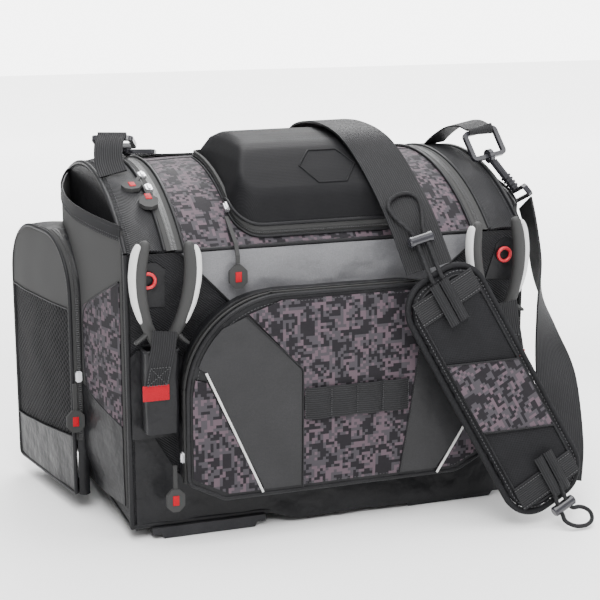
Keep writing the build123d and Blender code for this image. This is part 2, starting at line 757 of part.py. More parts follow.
def zip_pull(plane, drop):
    """A lanyard of length drop and a chamfered tag below it, hanging along -Y of a plane."""
    start = -slider_length / 2 - clearance
    with BuildPart() as pull:
        with BuildSketch(plane.offset(clearance + 1)):
            with Locations((0, start - drop / 2)):
                Rectangle(lanyard, drop)
        extrude(amount=lanyard_thickness)
        with BuildSketch(plane.offset(clearance)):
            with Locations((0, start - drop - tag_length / 2 + 1)):
                tag = Rectangle(tag_width, tag_length)
            chamfer(tag.vertices(), tag_chamfer)
        extrude(amount=tag_thickness)
    return pull.part


def on_dome(x, y, turn=0.0):
    """A plane that touches the dome, with +Y pointing up and back, turned about its normal."""
    normal = Vector(0, y - ridge_y, dome_height(y) - dome_z).normalized()
    uphill = normal.cross(Vector(1, 0, 0))
    across = Vector(1, 0, 0) * cos(radians(turn)) + uphill * sin(radians(turn))
    return Plane(origin=(x, y, dome_height(y)), x_dir=across, z_dir=normal)


lid_slider_x = lid_half_width + zip_gap + slider_width / 2 + 1.0
save("lid_slider_rear", zip_slider(on_dome(-lid_slider_x, 22)))
save("lid_slider_front", zip_slider(on_dome(-lid_slider_x, -6)))
save("lid_pull_rear", zip_pull(on_dome(-lid_slider_x, 22, -32), 15))
save("lid_pull_front", zip_pull(on_dome(-lid_slider_x, -6, -14), 12))

pocket_slider_plane = Plane(origin=(-pocket_half_width, front_y - pocket_depth + 8, 92), x_dir=(0, -1, 0),
                            z_dir=(-1, 0, 0))
pocket_pull_plane = Plane(origin=(-pocket_half_width - tag_width / 2 - 2, front_y - pocket_depth + 8, 92),
                          x_dir=(1, 0, 0), z_dir=(0, -1, 0))
save("pocket_slider", zip_slider(pocket_slider_plane))
save("pocket_pull", zip_pull(pocket_pull_plane, 26))

mesh_slider_plane = Plane(origin=(side_x + mesh_front_stand - slider_width / 2 + 0.8, mesh_front_y, 152),
                          x_dir=(1, 0, 0), z_dir=(0, -1, 0))
mesh_pull_plane = Plane(origin=(side_x + mesh_front_stand + 3, mesh_front_y - 4, 152), x_dir=(1, 0, 0),
                        z_dir=(0, -1, 0))
both_sides("side_slider", zip_slider(mesh_slider_plane))
both_sides("side_pull", zip_pull(mesh_pull_plane, 30))

case_slider_y = -46.0
rim_point = Vector(-case_half_width, case_slider_y, dome_height(case_slider_y, case_rim / 2))
rim_up = Vector(0, dome_height(case_slider_y) - dome_z, ridge_y - case_slider_y).normalized()
case_slider_plane = Plane(origin=rim_point, x_dir=Vector(-1, 0, 0).cross(-rim_up), z_dir=(-1, 0, 0))
save("case_slider", zip_slider(case_slider_plane))
case_lanyard = [(-106, -57, dome_height(-57, 3)), (-106, -72, dome_height(-72, 3.4)), (-105.5, -86, 304),
                (-105, -91, 292), (-105, -91, 284)]
case_tag_plane = Plane(origin=(-105, -89, 284 + slider_length / 2), x_dir=(1, 0, 0), z_dir=(0, -1, 0))
with BuildPart() as case_pull:
    add(band(route(case_lanyard, [(1, 0, 0)] * len(case_lanyard)), lanyard, lanyard_thickness))
    add(zip_pull(case_tag_plane, 2))
save("case_pull", case_pull.part)
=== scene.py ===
"""Looks of a soft-sided fishing tackle bag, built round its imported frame.

Lengths are millimetres in the frame's axes (+X the bag's right, +Y its back, +Z up) and become
metres where a mesh is made. Each sub-assembly is a class that builds and dresses its own pieces.
"""
import logging
import math
from dataclasses import dataclass
from enum import Enum
from typing import Callable, Sequence

import bpy
import numpy as np
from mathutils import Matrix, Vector


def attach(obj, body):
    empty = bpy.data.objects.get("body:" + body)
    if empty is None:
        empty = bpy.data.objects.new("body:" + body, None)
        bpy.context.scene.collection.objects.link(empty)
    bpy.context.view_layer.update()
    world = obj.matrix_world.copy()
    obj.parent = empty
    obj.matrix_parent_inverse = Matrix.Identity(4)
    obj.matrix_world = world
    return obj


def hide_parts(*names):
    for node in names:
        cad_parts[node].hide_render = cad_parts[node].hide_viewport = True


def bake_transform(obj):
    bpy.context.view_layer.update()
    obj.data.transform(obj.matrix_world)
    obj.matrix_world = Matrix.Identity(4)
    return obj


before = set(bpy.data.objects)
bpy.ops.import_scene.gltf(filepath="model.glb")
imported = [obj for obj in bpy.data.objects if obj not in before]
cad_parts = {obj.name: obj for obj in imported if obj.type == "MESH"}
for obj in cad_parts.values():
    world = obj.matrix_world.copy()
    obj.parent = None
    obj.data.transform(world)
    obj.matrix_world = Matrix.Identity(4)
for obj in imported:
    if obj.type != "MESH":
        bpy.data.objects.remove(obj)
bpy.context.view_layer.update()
log = logging.getLogger("tackle_bag")

MM = 0.001
Point = Sequence[float]
Placer = Callable[[float, float], Point]

# Driving sizes of the body, as in the frame (millimetres).
FRONT_Y, BACK_Y = -84.0, 196.0
SIDE_X = 220.0
RIDGE_Y, RIDGE_Z = 86.0, 368.0
DOME_RADIUS = 246.5
DOME_Z = RIDGE_Z - DOME_RADIUS
FRONT_EDGE_Z = 300.0
LID_HALF = 168.0
SKID_TOP = 12.0
EYELET_X, EYELET_Z, EYELET_RING = 197.0, 272.0, 7.2
SIDES = ((-1, "left"), (1, "right"))
TAPE_WIDTH, COIL_WIDTH = 9.0, 3.4
PIPE = 1.8


def dome_height(y: float, lift: float = 0.0) -> float:
    """Height of the dome, or of a face `lift` above it, at depth y."""
    return DOME_Z + math.sqrt(max((DOME_RADIUS + lift) ** 2 - (y - RIDGE_Y) ** 2, 0.0))


def dome_point(x: float, angle: float, lift: float = 0.0) -> Point:
    """A point on the dome at an angle in radians behind its ridge."""
    radius = DOME_RADIUS + lift
    return x, RIDGE_Y + radius * math.sin(angle), DOME_Z + radius * math.cos(angle)


def dome_angle(y: float) -> float:
    """The dome's angle at depth y."""
    return math.asin((y - RIDGE_Y) / DOME_RADIUS)


def smooth(t: float) -> float:
    """Ease from 0 to 1 with level ends."""
    t = min(max(t, 0.0), 1.0)
    return t * t * (3 - 2 * t)


def ripple(a: float, b: float, seed: float = 0.0) -> float:
    """A smooth irregular wave between about -1 and 1, for folds and sag."""
    first = math.sin(1.7 * a + 0.9 * b + seed) * math.cos(0.8 * a - 1.9 * b + 2.1 * seed)
    second = math.sin(3.1 * a - 1.2 * b + 1.3 * seed) * math.sin(0.6 * a + 2.7 * b + seed)
    return 0.6 * first + 0.4 * second


# ---- Mesh making ---------------------------------------------------------------------------
def only(piece: bpy.types.Object) -> None:
    """Deselect everything, then select one object and make it active."""
    bpy.ops.object.select_all(action="DESELECT")
    piece.select_set(True)
    bpy.context.view_layer.objects.active = piece


def apply_modifier(piece: bpy.types.Object, kind: str, **settings: object) -> None:
    """Add one modifier with these settings and apply it."""
    only(piece)
    modifier = piece.modifiers.new(kind.title(), kind)
    for key, value in settings.items():
        setattr(modifier, key, value)
    bpy.ops.object.modifier_apply(modifier=modifier.name)


def set_points(piece: bpy.types.Object, points: Sequence[Point]) -> None:
    """Write vertex places, given in millimetres."""
    piece.data.vertices.foreach_set("co", (np.array(points, float) * MM).ravel())
    piece.data.update()


def outward(piece: bpy.types.Object) -> None:
    """Merge doubled points and turn every face outwards."""
    only(piece)
    bpy.ops.object.mode_set(mode="EDIT")
    bpy.ops.mesh.select_all(action="SELECT")
    bpy.ops.mesh.remove_doubles(threshold=0.00005)
    bpy.ops.mesh.normals_make_consistent(inside=False)
    bpy.ops.object.mode_set(mode="OBJECT")


def round_off(piece: bpy.types.Object, angle: float = 50.0) -> None:
    """Shade smooth, but keep edges sharper than `angle` degrees."""
    only(piece)
    bpy.ops.object.shade_smooth_by_angle(angle=math.radians(angle))


def lay_uv(piece: bpy.types.Object, places: Sequence[tuple[float, float]]) -> None:
    """Write the UV map, given in millimetres for each vertex."""
    for loop, uv in zip(piece.data.loops, piece.data.uv_layers.active.data):
        u, v = places[loop.vertex_index]
        uv.uv = (u * MM, v * MM)


def give_wall(piece: bpy.types.Object, thickness: float) -> None:
    """Thicken a sheet inwards, then shade it smooth."""
    if thickness:
        apply_modifier(piece, "SOLIDIFY", thickness=thickness * MM, offset=-1.0, use_even_offset=False)
    round_off(piece)


def flat_cut(name: str, points: Sequence[Point]) -> bpy.types.Object:
    """One flat face with these corners."""
    bpy.ops.object.select_all(action="DESELECT")
    bpy.ops.mesh.primitive_circle_add(vertices=len(points), radius=1, fill_type="NGON")
    piece = bpy.context.active_object
    piece.name = name
    set_points(piece, points)
    return piece


def surface(name: str, cuts: tuple[int, int], place: Placer, size: tuple[float, float],
            thickness: float = 1.5, closed: bool = False) -> bpy.types.Object:
    """Shape a grid over a surface and give it a wall.

    Args:
        name: the piece's name.
        cuts: faces along u and along v.
        place: gives the point for u and v between 0 and 1.
        size: real lengths along u and v, for the UV map.
        thickness: wall, on the side that the grid's normal points away from.
        closed: True if u runs all the way round.

    Returns:
        The finished mesh object.
    """
    bpy.ops.object.select_all(action="DESELECT")
    bpy.ops.mesh.primitive_grid_add(x_subdivisions=cuts[0], y_subdivisions=cuts[1], size=2, calc_uvs=True)
    piece = bpy.context.active_object
    piece.name = name
    flat = [((v.co.x + 1) / 2, (v.co.y + 1) / 2) for v in piece.data.vertices]
    lay_uv(piece, [(u * size[0], v * size[1]) for u, v in flat])
    set_points(piece, [place(u, v) for u, v in flat])
    if closed:
        outward(piece)
    give_wall(piece, thickness)
    return piece


def patch(name: str, outline: Sequence[tuple[float, float]], place: Placer, step: float = 8.0,
          thickness: float = 1.0) -> bpy.types.Object:
    """A sewn-on panel: a flat cut of any outline, laid over a surface.

    Args:
        name: the piece's name.
        outline: corners of the cut, anticlockwise, in the surface's own two directions.
        place: gives the point of the surface for those directions.
        step: spacing of the cuts that let the panel bend.
        thickness: wall of the panel.

    Returns:
        The finished mesh object.
    """
    piece = flat_cut(name, [(a, b, 0) for a, b in outline])
    low, high = np.min(outline, axis=0), np.max(outline, axis=0)
    bpy.ops.object.mode_set(mode="EDIT")
    for axis in (0, 1):
        normal = (1, 0, 0) if axis == 0 else (0, 1, 0)
        for cut in np.arange(low[axis] + step, high[axis] - step / 4, step):
            bpy.ops.mesh.select_all(action="SELECT")
            bpy.ops.mesh.bisect(plane_co=tuple(cut * MM * n for n in normal), plane_no=normal)
    bpy.ops.object.mode_set(mode="OBJECT")
    if not piece.data.uv_layers:
        piece.data.uv_layers.new()
    flat = [(v.co.x / MM, v.co.y / MM) for v in piece.data.vertices]
    lay_uv(piece, flat)
    set_points(piece, [place(a, b) for a, b in flat])
    give_wall(piece, thickness)
    return piece


def spline_object(name: str, lines: Sequence[Sequence[Point]], radius: float, closed: bool,
                  order: int, sides: int, steps: int = 4) -> bpy.types.Object:
    """A curve object with one round tube for each line of points.

    Args:
        name: the piece's name.
        lines: the points of each tube's middle.
        radius: radius of the tubes.
        closed: True if each tube runs back into its start.
        order: order of the curve, 2 for straight runs.
        sides: fineness of the round section.
        steps: fineness along a smooth tube.

    Returns:
        The curve object.
    """
    data = bpy.data.curves.new(name, "CURVE")
    data.dimensions = "3D"
    data.bevel_depth = radius * MM
    data.bevel_resolution = sides
    data.resolution_u = steps if order > 2 else 1
    data.use_fill_caps = not closed
    for points in lines:
        spline = data.splines.new("NURBS" if order > 2 else "POLY")
        spline.points.add(len(points) - 1)
        for target, point in zip(spline.points, points):
            target.co = (*(c * MM for c in point), 1)
        spline.use_cyclic_u = closed
        if order > 2:
            spline.order_u = order
            spline.use_endpoint_u = not closed
    piece = bpy.data.objects.new(name, data)
    bpy.context.scene.collection.objects.link(piece)
    return piece


def to_mesh(piece: bpy.types.Object) -> bpy.types.Object:
    """Turn a curve object into a mesh of the same name."""
    name = piece.name
    only(piece)
    bpy.ops.object.convert(target="MESH")
    made = bpy.context.active_object
    made.name = name
    return made


def rope(name: str, points: Sequence[Point], radius: float, closed: bool = False,
         order: int = 3) -> bpy.types.Object:
    """A round cord or piping along points, as a mesh."""
    piece = to_mesh(spline_object(name, [points], radius, closed, order, 3))
    round_off(piece)
    return piece


def walk(points: Sequence[Point], pitch: float) -> list[np.ndarray]:
    """Points spaced evenly along a line of straight runs."""
    line = np.array(points, float)
    reach = np.concatenate([[0], np.cumsum(np.linalg.norm(np.diff(line, axis=0), axis=1))])
    places = np.arange(0, reach[-1], pitch)
    return [np.array([np.interp(s, reach, line[:, i]) for i in range(3)]) for s in places]


def stitches(name: str, points: Sequence[Point], pitch: float = 3.6,
             thread: float = 0.35) -> bpy.types.Object:
    """A row of stitches along a line: one short thread for each."""
    marks = walk(points, pitch / 4)
    lines = [(marks[i], marks[min(i + 2, len(marks) - 1)]) for i in range(0, len(marks) - 2, 4)]
    return to_mesh(spline_object(name, lines, thread, False, 2, 1))


def evenly(outline: Sequence[tuple[float, float]], pitch: float) -> list[tuple[float, float]]:
    """A closed flat outline as evenly spaced points."""
    closed = [*outline, outline[0]]
    return [(p[0], p[1]) for p in walk([(*p, 0) for p in closed], pitch)]


def loop_point(loop: Sequence[Point], place: float) -> np.ndarray:
    """A point on a closed loop, at a place counted in its steps."""
    start = int(place)
    first, second = np.array(loop[start % len(loop)]), np.array(loop[(start + 1) % len(loop)])
    return first + (second - first) * (place - start)


def outwards_from(middle: Point, point: Point) -> np.ndarray:
    """The direction of length 1 from a middle to a point."""
    out = np.array(point, float) - np.array(middle, float)
    return out / np.linalg.norm(out)


def follow(points: Sequence[Point], t: float) -> np.ndarray:
    """Find a point of a smooth line through all the points.

    Args:
        points: the points that the line passes through.
        t: the share of the way along it, from 0 to 1.

    Returns:
        The point.
    """
    line = np.array(points, float)
    place = min(max(t, 0.0), 1.0) * (len(line) - 1)
    i = min(int(place), len(line) - 2)
    s = place - i
    before, after = line[max(i - 1, 0)], line[min(i + 2, len(line) - 1)]
    a, b = line[i], line[i + 1]
    first, last = (b - before) / 2, (after - a) / 2
    return ((2 * s ** 3 - 3 * s ** 2 + 1) * a + (s ** 3 - 2 * s ** 2 + s) * first
            + (3 * s ** 2 - 2 * s ** 3) * b + (s ** 3 - s ** 2) * last)


def line_length(points: Sequence[Point]) -> float:
    """Length of a line of straight runs."""
    return float(np.linalg.norm(np.diff(np.array(points, float), axis=0), axis=1).sum())


def ribbon(name: str, points: Sequence[Point], across: Sequence[Point], width: float,
           thickness: float = 2.0, cuts: int = 0, camber: float = 0.0) -> bpy.types.Object:
    """Webbing or tape along a smooth line.

    Args:
        name: the piece's name.
        points: middle of the tape.
        across: its width direction at each point.
        width: width of the tape.
        thickness: its thickness, half on each side of the line.
        cuts: steps along the tape, or 0 for one about every 5 mm.
        camber: how far the middle stands above the edges.

    Returns:
        The finished mesh object.
    """
    length = line_length(points)
    cuts = cuts or max(4, int(length / 5))

    def place(u: float, v: float) -> Point:
        """A point at share u of the length and share v of the width."""
        middle = follow(points, u)
        run = follow(points, min(u + 0.01, 1)) - follow(points, max(u - 0.01, 0))
        run /= np.linalg.norm(run)
        side = follow(across, u)
        side -= run * run.dot(side)
        side /= np.linalg.norm(side)
        rise = np.cross(run, side)
        return middle + side * (v - 0.5) * width + rise * (thickness / 2 + camber * (1 - (2 * v - 1) ** 2))

    return surface(name, (cuts, 6), place, (length, width), thickness)


def limb(name: str, points: Sequence[Point], widths: Sequence[float], across: Point,
         depth: float) -> bpy.types.Object:
    """A moulded arm with an oval section and rounded ends.

    Args:
        name: the piece's name.
        points: its middle line.
        widths: its width at each point.
        across: the direction in which the depth is measured.
        depth: its greatest depth.

    Returns:
        The finished mesh object.
    """
    deep = Vector(across).normalized()
    places = np.linspace(0, 1, len(points))

    def place(u: float, v: float) -> Point:
        """A point at share u of the way round and share v of the length."""
        run = Vector(follow(points, min(v + 0.02, 1)) - follow(points, max(v - 0.02, 0))).normalized()
        side = run.cross(deep).normalized()
        close = math.sqrt(max(1 - abs(2 * v - 1) ** 12, 0))
        wide = float(np.interp(v, places, widths)) / 2 * close
        turn = math.tau * u
        round_way = side * wide * math.cos(turn) + deep * depth / 2 * close * math.sin(turn)
        return Vector(follow(points, v)) + round_way

    return surface(name, (20, 36), place, (30.0, line_length(points)), 0.0, closed=True)


def slab(name: str, outline: Sequence[tuple[float, float]], origin: Point, right: Point, up: Point,
         depth: float, bevel: float = 0.5) -> bpy.types.Object:
    """A moulded plate of any outline, with rounded edges.

    Args:
        name: the piece's name.
        outline: its corners, anticlockwise seen from the front.
        origin: where the outline's zero lies, at the back face.
        right: direction of the outline's first measure.
        up: direction of its second.
        depth: thickness towards the front.
        bevel: radius of the rounded edges.

    Returns:
        The finished mesh object.
    """
    right, up = Vector(right).normalized(), Vector(up).normalized()
    front = right.cross(up)
    piece = flat_cut(name, [Vector(origin) + right * a + up * b for a, b in outline])
    bpy.ops.object.mode_set(mode="EDIT")
    bpy.ops.mesh.select_all(action="SELECT")
    bpy.ops.mesh.extrude_region_move(TRANSFORM_OT_translate={"value": front * depth * MM})
    bpy.ops.object.mode_set(mode="OBJECT")
    outward(piece)
    if bevel:
        apply_modifier(piece, "BEVEL", width=bevel * MM, segments=2, limit_method="ANGLE")
    round_off(piece)
    return piece


def arc_points(centre: tuple[float, float], radius: float, first: float, last: float,
               count: int) -> list[tuple[float, float]]:
    """Points on an arc between two angles in degrees."""
    angles = [math.radians(first + (last - first) * i / (count - 1)) for i in range(count)]
    return [(centre[0] + radius * math.cos(a), centre[1] + radius * math.sin(a)) for a in angles]


def joined(name: str, pieces: Sequence[bpy.types.Object]) -> bpy.types.Object:
    """Join several meshes into one piece."""
    bpy.ops.object.select_all(action="DESELECT")
    for piece in pieces:
        piece.select_set(True)
    bpy.context.view_layer.objects.active = pieces[0]
    bpy.ops.object.join()
    pieces[0].name = name
    return pieces[0]


def soft_min(a: float, b: float, soft: float) -> float:
    """The lesser of two heights, rounded where they meet."""
    blend = max(soft - abs(a - b), 0) / soft
    return min(a, b) - blend * blend * soft / 4


def colour_in(piece: bpy.types.Object, finish: "Finish") -> None:
    """Give a piece one finish alone."""
    piece.data.materials.clear()
    piece.data.materials.append(finish.material())


def paint(node: str, finish: "Finish") -> None:
    """Give a frame node its finish."""
    colour_in(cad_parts[node], finish)
    log.info("%s keeps its shape", node)


def dress(piece: bpy.types.Object, finish: "Finish", body: str = "root", *nodes: str) -> None:
    """Give a piece its finish and its body.

    Args:
        piece: the piece.
        finish: its finish.
        body: the body that it moves with.
        nodes: the frame's nodes that it stands for.
    """
    colour_in(piece, finish)
    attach(piece, body)
    if nodes:
        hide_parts(*nodes)
    log.info("%s rides %s", piece.name, body)


# ---- Finishes ------------------------------------------------------------------------------
class Grain(Enum):
    """How the surface of a finish is made up."""

    WEAVE = "plain weave"
    RIBS = "ribs"
    KNIT = "knit"
    NET = "open net"
    TEETH = "zip teeth"
    FILM = "coated film"
    MOULDED = "moulded"


class Lay(Enum):
    """Which coordinates a pattern follows."""

    OBJECT = "Object"
    SURFACE = "UV"


class Graph:
    """The nodes of one material."""

    def __init__(self, name: str) -> None:
        """Start a material with its shader."""
        self.material = bpy.data.materials.new(name)
        self.material.use_nodes = True
        self.tree = self.material.node_tree
        self.shader = self.tree.nodes["Principled BSDF"]

    def node(self, kind: str, inputs: dict | None = None, **settings: object) -> bpy.types.Node:
        """Add a node.

        Args:
            kind: its type, without the usual prefix.
            inputs: values or sockets for its inputs, by name or number.
            settings: its own properties.

        Returns:
            The new node.
        """
        made = self.tree.nodes.new("ShaderNode" + kind)
        for key, value in settings.items():
            setattr(made, key, value)
        for key, value in (inputs or {}).items():
            if isinstance(value, bpy.types.NodeSocket):
                self.tree.links.new(value, made.inputs[key])
            else:
                made.inputs[key].default_value = value
        return made

    def math(self, operation: str, a: object, b: object = 0.0) -> bpy.types.NodeSocket:
        """One sum of two values or sockets."""
        return self.node("Math", {0: a, 1: b}, operation=operation).outputs[0]

    def noise(self, where: bpy.types.NodeSocket, size: float, detail: float = 2.0) -> bpy.types.NodeSocket:
        """Soft noise with marks of about this size in millimetres."""
        inputs = {"Vector": where, "Scale": 1 / (size * MM), "Detail": detail}
        return self.node("TexNoise", inputs).outputs["Fac"]

    def wave(self, value: bpy.types.NodeSocket, pitch: float) -> bpy.types.NodeSocket:
        """A wave from 0 to 1 that repeats every `pitch` millimetres."""
        turned = self.math("SINE", self.math("MULTIPLY", value, math.tau / (pitch * MM)))
        return self.math("ADD", self.math("MULTIPLY", turned, 0.5), 0.5)

    def ramp(self, value: bpy.types.NodeSocket, stops: Sequence[tuple[float, tuple]],
             step: bool = False) -> bpy.types.NodeSocket:
        """Colours set out along a value from 0 to 1."""
        made = self.node("ValToRGB", {"Fac": value})
        made.color_ramp.interpolation = "CONSTANT" if step else "LINEAR"
        elements = made.color_ramp.elements
        while len(elements) < len(stops):
            elements.new(0.5)
        for element, (place, colour) in zip(elements, stops):
            element.position = place
            element.color = (*colour, 1)
        return made.outputs["Color"]

    def mix(self, share: object, a: object, b: object) -> bpy.types.NodeSocket:
        """Mix two colours."""
        made = self.node("Mix", {}, data_type="RGBA")
        for socket, value in ((made.inputs[0], share), (made.inputs[6], a), (made.inputs[7], b)):
            if isinstance(value, bpy.types.NodeSocket):
                self.tree.links.new(value, socket)
            else:
                socket.default_value = value if isinstance(value, float) else (*value, 1)
        return made.outputs[2]

    def bumped(self, height: bpy.types.NodeSocket, depth: float,
               under: bpy.types.NodeSocket | None = None) -> bpy.types.NodeSocket:
        """A normal raised by a height from 0 to 1 that stands for `depth` millimetres."""
        made = self.node("Bump", {"Height": height, "Distance": depth * MM, "Strength": 1.0})
        if under:
            self.tree.links.new(under, made.inputs["Normal"])
        return made.outputs["Normal"]

    def plug(self, **sockets: bpy.types.NodeSocket) -> None:
        """Link sockets to the shader's inputs, an underscore standing for a space."""
        for key, socket in sockets.items():
            self.tree.links.new(socket, self.shader.inputs[key.replace("_", " ")])


Colour = tuple[float, float, float]

# How every finish is mottled: sizes in millimetres, shares from 0 to 1.
CLOUD_SIZE, SPECK_SIZE = 38.0, 3.0
CLOUD_SHARE = 0.65
MOTTLE_RANGE = (0.32, 0.72)
GRAIN_SHARE = 0.8
COAT_ROUGHNESS = 0.15


@dataclass(frozen=True)
class Finish:
    """One finish: its colours, its gloss and its grain."""

    name: str
    slot: str
    colour: Colour
    worn: Colour
    roughness: float = 0.7
    gloss_range: float = 0.12
    metallic: float = 0.0
    shine: float = 0.1
    coat: float = 0.0
    grain: Grain = Grain.WEAVE
    lay: Lay = Lay.OBJECT
    pitch: float = 1.2
    relief: float = 0.25
    crease: float = 0.0
    crease_size: float = 30.0
    slant: float = 0.0
    band: float = 5.0

    def material(self) -> bpy.types.Material:
        """The finish's material, made once."""
        found = bpy.data.materials.get(self.name)
        return found or self.build()

    def build(self) -> bpy.types.Material:
        """Make the material's nodes."""
        graph = Graph(self.name)
        where = graph.node("TexCoord").outputs[self.lay.value]
        height = self.pattern(graph, where)
        cloudy = graph.noise(where, CLOUD_SIZE, 4.0)
        fine = graph.noise(where, SPECK_SIZE, 3.0)
        mottle = graph.math("ADD", graph.math("MULTIPLY", cloudy, CLOUD_SHARE),
                            graph.math("MULTIPLY", fine, 1 - CLOUD_SHARE))
        colour = graph.ramp(mottle, list(zip(MOTTLE_RANGE, (self.colour, self.worn))))
        colour = self.shade(graph, where, colour, height)
        low = self.roughness - self.gloss_range
        gloss = graph.math("ADD", graph.math("MULTIPLY", mottle, 2 * self.gloss_range), low)
        normal = graph.bumped(graph.math("ADD", graph.math("MULTIPLY", height, GRAIN_SHARE),
                                         graph.math("MULTIPLY", fine, 1 - GRAIN_SHARE)), self.relief)
        if self.crease:
            folds = graph.noise(where, self.crease_size, 3.0)
            normal = graph.bumped(folds, self.crease, normal)
        graph.plug(Base_Color=colour, Roughness=gloss, Normal=normal)
        for socket, value in (("Metallic", self.metallic), ("Specular IOR Level", self.shine),
                              ("Coat Weight", self.coat), ("Coat Roughness", COAT_ROUGHNESS)):
            graph.shader.inputs[socket].default_value = value
        return graph.material

    def shade(self, graph: Graph, where: bpy.types.NodeSocket, colour: bpy.types.NodeSocket,
              height: bpy.types.NodeSocket) -> bpy.types.NodeSocket:
        """Paint shade into the hollows of the grain: where the grain is low, the colour darkens towards a
        share of its own.
        """
        # Painted shade: the grain's hollows fall to 62 per cent of the colour, and the open net's holes and
        # the gaps between zip teeth to 25 per cent.
        floor = 0.25 if self.grain in (Grain.NET, Grain.TEETH) else 0.62
        deep = tuple(c * floor for c in self.colour)
        return graph.mix(height, deep, colour)

    def pattern(self, graph: Graph, where: bpy.types.NodeSocket) -> bpy.types.NodeSocket:
        """The height of the grain, from 0 to 1."""
        if self.grain in (Grain.FILM, Grain.MOULDED):
            return graph.noise(where, self.pitch, 4.0)
        if self.grain is Grain.KNIT:
            inputs = {"Vector": where, "Scale": 1 / (self.pitch * MM)}
            return graph.node("TexVoronoi", inputs).outputs["Distance"]
        turned = graph.node("Mapping", {"Vector": where, "Rotation": (0.0, self.slant * 0.6, self.slant)})
        parts = graph.node("SeparateXYZ", {"Vector": turned.outputs["Vector"]}).outputs
        if self.grain is Grain.TEETH:
            middle = graph.math("ABSOLUTE", graph.math("SUBTRACT", parts["Y"], self.band / 2 * MM))
            inside = graph.math("LESS_THAN", middle, self.band * 0.3 * MM)
            return graph.math("MULTIPLY", graph.wave(parts["X"], self.pitch), inside)
        if self.grain is Grain.RIBS:
            second = graph.math("ADD", parts["Y"], parts["Z"]) if self.lay is Lay.OBJECT else parts["Y"]
            return graph.wave(second, self.pitch)
        first = graph.wave(parts["X"], self.pitch)
        if self.lay is Lay.OBJECT:
            first = graph.wave(graph.math("ADD", parts["X"], parts["Y"]), self.pitch)
            second = graph.wave(parts["Z"], self.pitch)
        else:
            second = graph.wave(parts["Y"], self.pitch)
        if self.grain is Grain.NET:
            return graph.math("MAXIMUM", first, second)
        return graph.math("MULTIPLY", graph.math("ADD", first, second), 0.5)


@dataclass(frozen=True)
class Camouflage(Finish):
    """Cloth printed with small squares in clusters of three colours."""

    third: Colour = (0.30, 0.22, 0.24)
    cell: float = 3.1
    cluster: float = 17.0
    stray: float = 0.11
    stops: tuple = (0.0, 0.445, 0.515, 0.585, 0.66)

    def shade(self, graph: Graph, where: bpy.types.NodeSocket, colour: bpy.types.NodeSocket,
              height: bpy.types.NodeSocket) -> bpy.types.NodeSocket:
        """Print the squares under the weave, then paint shade into the weave's hollows."""
        snapped = graph.node("VectorMath", {0: where, 1: (self.cell * MM,) * 3}, operation="SNAP").outputs[0]
        patches = graph.noise(snapped, self.cluster, 1.5)
        stray = graph.node("TexWhiteNoise", {"Vector": snapped}).outputs["Value"]
        centred = graph.math("SUBTRACT", stray, 0.5)
        share = graph.math("ADD", patches, graph.math("MULTIPLY", centred, self.stray))
        colours = (self.colour, self.worn, self.third, self.colour, self.worn)
        printed = graph.ramp(share, list(zip(self.stops, colours)), step=True)
        aged = graph.mix(0.12, printed, colour)
        # Painted shade: the weave's hollows darken towards half of the darkest print colour.
        return graph.mix(graph.math("ADD", graph.math("MULTIPLY", height, 0.35), 0.65),
                         tuple(c * 0.5 for c in self.colour), aged)


CAMO_DARK, CAMO_MID, CAMO_MAUVE = (0.011, 0.010, 0.012), (0.052, 0.047, 0.054), (0.098, 0.070, 0.085)
CAMO = Camouflage("camouflage_cloth", "camo_fabric", CAMO_DARK, CAMO_MID, 0.62, lay=Lay.SURFACE,
                  pitch=0.9, relief=0.12, crease=1.2, third=CAMO_MAUVE)
PAD_CAMO = Camouflage("pad_camouflage", "pad_fabric", CAMO_DARK, CAMO_MID, 0.62, lay=Lay.SURFACE,
                      pitch=0.9, relief=0.12, third=CAMO_MAUVE)
RIBBED = Finish("ribbed_cloth", "black_fabric", (0.009, 0.009, 0.010), (0.024, 0.024, 0.027), 0.5,
                shine=0.14, grain=Grain.RIBS, lay=Lay.SURFACE, pitch=2.1, relief=0.45, crease=2.0, slant=0.7)
LINING = Finish("black_lining", "black_fabric", (0.010, 0.010, 0.011), (0.024, 0.024, 0.026), 0.75,
                grain=Grain.WEAVE, pitch=1.2, relief=0.15)
GREY_FILM = Finish("grey_coated_cloth", "coated_fabric", (0.125, 0.125, 0.133), (0.190, 0.190, 0.200), 0.40,
                   shine=0.3, grain=Grain.FILM, lay=Lay.SURFACE, pitch=1.4, relief=0.12, crease=5.5,
                   crease_size=42.0, coat=0.15)
BLACK_FILM = Finish("black_coated_cloth", "coated_fabric", (0.007, 0.007, 0.008), (0.015, 0.015, 0.017), 0.42,
                    shine=0.2, grain=Grain.FILM, pitch=1.4, relief=0.12, crease=4.5, crease_size=34.0)
CHARCOAL_FILM = Finish("charcoal_coated_cloth", "coated_fabric", (0.015, 0.015, 0.016), (0.030, 0.030, 0.032),
                       0.42, shine=0.2, grain=Grain.FILM, lay=Lay.SURFACE, pitch=1.4, relief=0.12, crease=2.0,
                       crease_size=38.0)
NEOPRENE = Finish("neoprene", "neoprene", (0.006, 0.006, 0.007), (0.013, 0.013, 0.014), 0.72, shine=0.08,
                  grain=Grain.KNIT, pitch=1.1, relief=0.15, crease=1.5, crease_size=45.0)
NET = Finish("open_mesh", "mesh", (0.006, 0.006, 0.007), (0.014, 0.014, 0.015), 0.6, shine=0.05,
             grain=Grain.NET, lay=Lay.SURFACE, pitch=4.6, relief=1.0, slant=0.785)
MOULDED = Finish("moulded_cloth", "moulded_eva", (0.006, 0.006, 0.007), (0.013, 0.013, 0.014), 0.6, shine=0.1,
                 grain=Grain.WEAVE, pitch=1.3, relief=0.10)
ZIP_TAPE = Finish("zip_tape", "zip_tape", (0.008, 0.008, 0.009), (0.018, 0.018, 0.020), 0.7,
                  grain=Grain.WEAVE, lay=Lay.SURFACE, pitch=1.0, relief=0.2)
